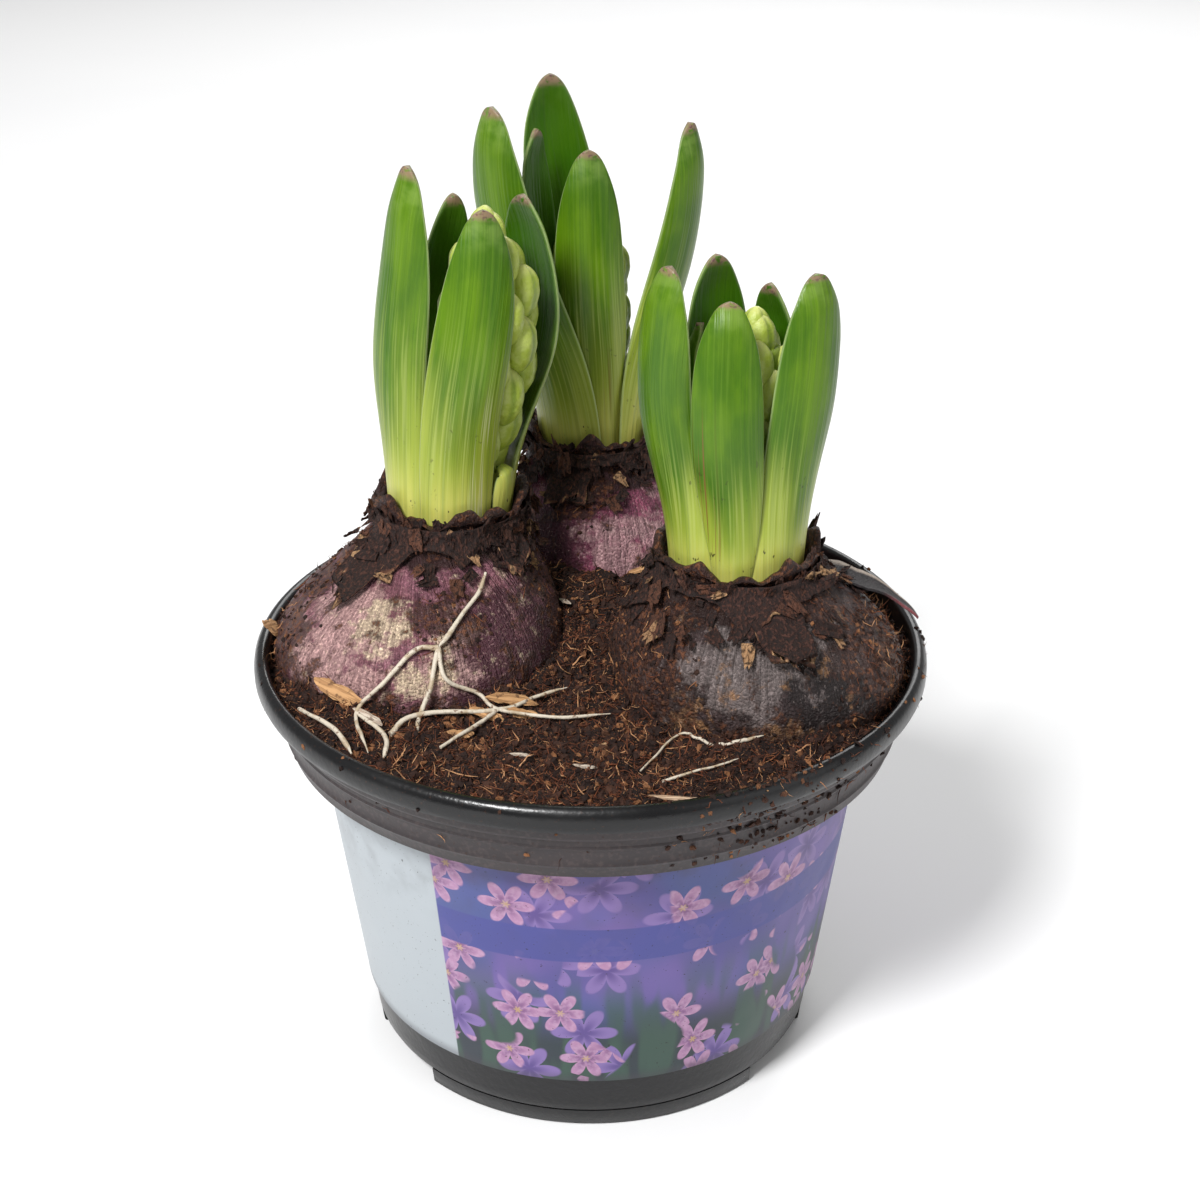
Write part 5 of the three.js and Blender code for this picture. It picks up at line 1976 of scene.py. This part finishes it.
@dataclass
class BarkChips:
    """Splinters of bark and wood that lie on the soil and the rim."""

    # Each is x, y, height over the soil, turn in degrees, tilt, length, width and tone.
    chips: tuple = (
        (-61.3, -3.0, 6.2, 82, 48, 8.0, 4.0, 0.5),
        (-46.5, -25.5, 1.6, -18, 42, 8.6, 2.9, 0.1),
        (-40.6, -30.2, 1.1, -32, 25, 5.8, 1.6, 0.85),
        (-14.6, -25.6, 1.6, 22, 40, 9.5, 2.2, 0.3),
        (-18.8, -29.6, 1.2, -8, 35, 6.0, 2.0, 0.15),
        (-12.6, -28.4, 1.3, 4, 30, 5.0, 2.2, 0.25),
        (-23.5, -35.8, 0.7, 10, 20, 4.2, 1.8, 0.25),
        (-5.0, 4.9, 0.8, 118, 10, 3.6, 1.6, 0.95),
        (-12.5, -43.6, 0.6, -8, 4, 3.4, 0.9, 0.9),
        (-1.0, -47.3, 0.6, -12, 4, 3.8, 1.0, 0.95),
        (15.2, -60.2, 2.2, -6, 2, 9.5, 1.3, 0.7),
        (26.5, -57.0, 1.2, 20, -12, 6.0, 1.0, 0.6),
        (31.0, -54.8, 1.4, 70, 30, 4.6, 0.9, 0.1),
        (2.5, -38.6, 0.5, 30, 3, 3.4, 0.8, 0.6),
        (10.5, 15.0, 0.9, 40, 10, 6.5, 2.0, 0.2),
        (-18.5, 38.0, 0.8, 80, 6, 7.5, 2.2, 0.3),
        (34.0, 27.0, 0.8, -40, 5, 7.0, 2.0, 0.4),
        (45.0, 20.5, 0.7, 10, 5, 5.0, 1.4, 0.8),
        (-40.0, 38.5, 0.8, 20, 6, 8.5, 2.4, 0.1),
    )
    kinds: int = 5

    @staticmethod
    def splinter(kind: int) -> Body:
        """A ragged splinter, 2 long along X and 2 wide along Y."""
        rng = np.random.default_rng(120 + kind)
        t = np.linspace(-1, 1, 9)[:, None]
        edge = (1 - 0.55 * np.abs(t) ** 5) * (1 + 0.07 * rng.normal(size=t.shape))
        skew = 0.08 * rng.normal(size=t.shape)
        turn = circle(10)[None]
        y = np.cos(turn) * edge + skew
        z = np.sign(np.sin(turn)) * np.abs(np.sin(turn)) ** 0.6 * 0.16 * (1.2 - np.abs(t)) + 0.1 * t**2
        rings = np.stack([np.broadcast_to(t, y.shape) * (1 + 0.2 * np.cos(turn + kind)), y, z], -1)
        grain = np.stack([rings[..., 1] * 2, rings[..., 0] * 4, rings[..., 2]], -1)
        return tube(rings, {"grain_at": grain})

    def build(self, builds: NodeBuilds, finish: Material) -> Object:
        """The splinters as one piece."""
        spots, soil = Spots(), PottingSoil()
        for i, (x, y, over, turn, tilt, length, width, tone) in enumerate(self.chips):
            z = float(soil.surface(np.array([x]), np.array([y]))[0]) + over
            euler = tuple(math.radians(angle) for angle in (tilt, tilt / 2, turn))
            size = (length / 2, width / 2, 1.3 + width / 6)
            spots.add(np.array([x, y, z]), i % self.kinds, euler, size, tone)
        kinds = collection_of("splinter_kinds", self.splinter, self.kinds, soft=False)
        return attach(builds.place(spots, "bark_chips", kinds, finish), "potting_soil")


@dataclass
class LooseRoots:
    """White roots that lie over the left bulb and the soil."""

    radius: float = 0.5
    lift: float = 0.75
    per_span: int = 14
    sides: int = 10

    def on_bulb(self, angle: float, z: float) -> Array:
        """A point just off the left bulb's skin."""
        return Bulb(LEFT).point(np.array(math.radians(angle)), np.array(z), self.radius + self.lift)

    def on_soil(self, x: float, y: float, lift: float | None = None) -> Array:
        """A point just above the soil."""
        height = SOIL.height(np.array(x), np.array(y)) + self.radius + (self.lift if lift is None else lift)
        return np.array([x, y, float(height)])

    def routes(self) -> dict[str, list[tuple[list[Array], float, float]]]:
        """Each node's strands: its points, and how thick it starts and ends."""
        bulb, soil = self.on_bulb, self.on_soil
        fork, crossing, bend = bulb(277.5, 93.3), soil(-16.6, -28.6), soil(-42.9, -29.2)
        right_end, back_end = (soil(-5.6, -31), soil(3.6, -29, 0.1)), (soil(-10.3, -22.5), soil(-4.4, -20))
        stray_end, tail = (soil(-46, -36.5), soil(-42.6, -41.6, -0.2)), (soil(23.5, -40.6), soil(31.4, -38.8))
        return {
            "roots_left": [
                ([bulb(300, 102.5), bulb(295.7, 100.2), bulb(286, 97), fork], 0.6, 1.1),
                ([fork, bulb(268, 93), bulb(259.4, 88.3), bend, soil(-39.5, -43, 0)], 1.0, 0.7),
                ([fork, bulb(277.4, 87.5), soil(-31, -30), soil(-31.2, -35.5, -0.2)], 1.0, 0.85),
                ([fork, bulb(283, 88.5), bulb(295.5, 85.2), crossing, *right_end], 0.9, 0.6),
                ([soil(-36.2, -35.5, 0.2), soil(-31.5, -31), crossing, *back_end], 1.1, 0.6),
                ([soil(-26.8, -41, 0.2), soil(-21.8, -35), crossing], 0.6, 0.85),
                ([bend, soil(-37.2, -36.5), soil(-36.7, -44, -0.2)], 0.8, 0.95),
            ],
            "root_stray": [([soil(-53.6, -26.8), soil(-50.6, -31.4), *stray_end], 0.7, 1.05)],
            "root_right_1": [([soil(8.7, -48, 0), soil(15.4, -37.4), soil(19, -39.2), *tail], 0.35, 0.75)],
            "root_right_2": [([soil(12.4, -52.1, 0.1), soil(19.1, -50.4), soil(26, -46.6)], 0.6, 0.35)],
        }

    def line(self, points: list[Array], thin: float, thick: float) -> Body:
        """One strand as a line with a smooth bend at each point and a slight wander.

        Args:
            points: the points that it passes.
            thin: its thickness at the start, in the roots' own radius.
            thick: its thickness at the end.

        Returns:
            The line, which keeps its radius on its points.
        """
        ends = [2 * points[0] - points[1], *points, 2 * points[-1] - points[-2]]
        path = []
        t = np.linspace(0, 1, self.per_span, endpoint=False)[:, None]
        for a, b, c, d in zip(ends, ends[1:], ends[2:], ends[3:]):
            square, cube = 2 * a - 5 * b + 4 * c - d, 3 * b - a - 3 * c + d
            path.append(0.5 * (2 * b + (c - a) * t + square * t**2 + cube * t**3))
        path = np.concatenate([*path, ends[-2][None]])
        share = np.linspace(0, 1, len(path))
        wander = np.stack([lumpiness(path, 4, i, 2) for i in range(3)], -1) * [0.35, 0.35, 0.12]
        path = path + wander * smooth(share / 0.1)[:, None] * smooth((1 - share) / 0.1)[:, None]
        resting = PottingSoil().surface(path[:, 0], path[:, 1]) + 0.7 * self.radius
        path[3:-3, 2] = np.maximum(path[3:-3, 2], resting[3:-3])
        size = mix(thin, thick, share) * self.radius * (1 + 0.12 * lumpiness(path, 2.5, 9))
        size = size * mix(0.3, 1, smooth((1 - share) / 0.12))
        return Body(path, [[i, i + 1] for i in range(len(path) - 1)], {"thick": size * MM})

    def build(self, builds: NodeBuilds, finish: Material) -> None:
        """The roots, standing for their nodes."""
        for node, strands in self.routes().items():
            host = joined([self.line(*strand) for strand in strands]).made(node + "_lines")
            piece = builds.run(builds.strand, host, f"loose_{node}", Material=finish, Sides=self.sides)
            attach(piece, "root_white", node)


# The studio


@dataclass
class Studio:
    """The photograph's camera, a plain white floor and soft lights. Places are in metres."""

    eye: tuple[float, float, float] = (0.0, -0.37896, 0.2832)
    aim: tuple[float, float, float] = (0.00185, 0.00477, 0.0892)
    lens: float = 66.0
    floor_size: float = 12.0
    surround: float = 0.34  # strength of the white surround
    lit: tuple[float, float, float] = (0.0, 0.0, 0.09)  # what the lamps are turned to
    # Each lamp is a name, a place, the side of its square and its power in watts.
    lamps: tuple = (
        ("key", (-0.45, -0.7, 1.0), 0.3, 17),
        ("fill", (0.9, -0.5, 0.6), 0.8, 1.6),
        ("behind", (0.2, 0.9, 0.8), 0.7, 6),
    )

    def aimed(self, data: bpy.types.ID, place: tuple, aim: tuple) -> Object:
        """A camera or a lamp at a place.

        Args:
            data: the camera or the lamp.
            place: where it stands.
            aim: the point that it is turned to.

        Returns:
            Its object in the scene.
        """
        thing = bpy.data.objects.new(data.name, data)
        thing.location, thing.rotation_mode = place, "QUATERNION"
        thing.rotation_quaternion = (Vector(aim) - Vector(place)).to_track_quat("-Z", "Y")
        bpy.context.scene.collection.objects.link(thing)
        return thing

    def camera(self) -> None:
        """The camera at the photograph's place."""
        data = bpy.data.cameras.new("camera")
        data.lens, data.sensor_width = self.lens, 36.0
        data.clip_start, data.clip_end = 0.01, 50.0
        bpy.context.scene.camera = self.aimed(data, self.eye, self.aim)

    def floor(self, finish: Material) -> None:
        """The floor, just under the pot's foot."""
        half = self.floor_size / 2 / MM
        corners = np.array([[-half, -half, 0], [half, -half, 0], [half, half, 0], [-half, half, 0]], float)
        Body(corners, [[0, 1, 2, 3]]).made("floor", finish, soft=False)

    def lights(self) -> None:
        """A white surround, a key from the upper left front, a fill and a light from behind."""
        world = bpy.data.worlds.new("surround")
        world.use_nodes = True
        background = world.node_tree.nodes["Background"]
        background.inputs[0].default_value = (1, 1, 1, 1)
        background.inputs[1].default_value = self.surround
        bpy.context.scene.world = world
        for name, place, size, power in self.lamps:
            data = bpy.data.lights.new(name, "AREA")
            data.energy, data.size = power, size
            self.aimed(data, place, self.lit)
        bpy.context.scene.view_settings.view_transform = "Standard"
        bpy.context.scene.view_settings.look = "None"

    def build(self, finish: Material) -> None:
        """The whole studio."""
        self.camera()
        self.floor(finish)
        self.lights()


@dataclass
class Finishes:
    """Every material of the scene, made once."""

    leaf: Material = field(default_factory=WaxyLeaf().made)
    bud: Material = field(default_factory=ScapeBud().made)
    torn: Material = field(default_factory=TornTunic().made)
    flake: Material = field(default_factory=PeeledFlake().made)
    root: Material = field(default_factory=FreshRoot().made)
    soil: Material = field(default_factory=PeatSoil().made)
    fibre: Material = field(default_factory=PeatBits().made)
    crumb: Material = field(default_factory=PeatBits.crumbs)
    bark: Material = field(default_factory=BarkChip().made)
    pot: Material = field(default_factory=BlackPlastic().made)
    film: Material = field(default_factory=PrintedFilm().made)
    floor: Material = field(default_factory=PaleFloor().made)
    tunics: dict[BulbKind, Material] = field(default_factory=PaperyTunic.of_each_kind)


def main() -> None:
    """Builds the studio, the pot, the soil, the plants and the loose roots."""
    logging.basicConfig(level=logging.INFO, format="%(message)s")
    finishes = Finishes()
    builds = NodeBuilds()
    Studio().build(finishes.floor)
    NurseryPot().build(finishes.pot)
    LabelBand().build(finishes.film)
    PottingSoil().build(builds, finishes)
    BarkChips().build(builds, finishes.bark)
    buds = collection_of("bud_kinds", FlowerSpike(LEFT).bud, FlowerSpike.kinds)
    shreds = collection_of("shred_kinds", TornCollar.shred, TornCollar.kinds, soft=False)
    for plant in (LEFT, RIGHT, BACK):
        Bulb(plant).build(finishes)
        TornCollar(plant).build(builds, shreds, finishes.torn)
        FlowerSpike(plant).build(builds, buds, finishes.bud)
        for i, leaf in enumerate(plant.leaves):
            Leaf(plant, leaf, i + 1).build(finishes.leaf)
    SprungFlake().build(finishes.flake)
    LooseRoots().build(builds, finishes.root)


if __name__ == "__main__":
    main()
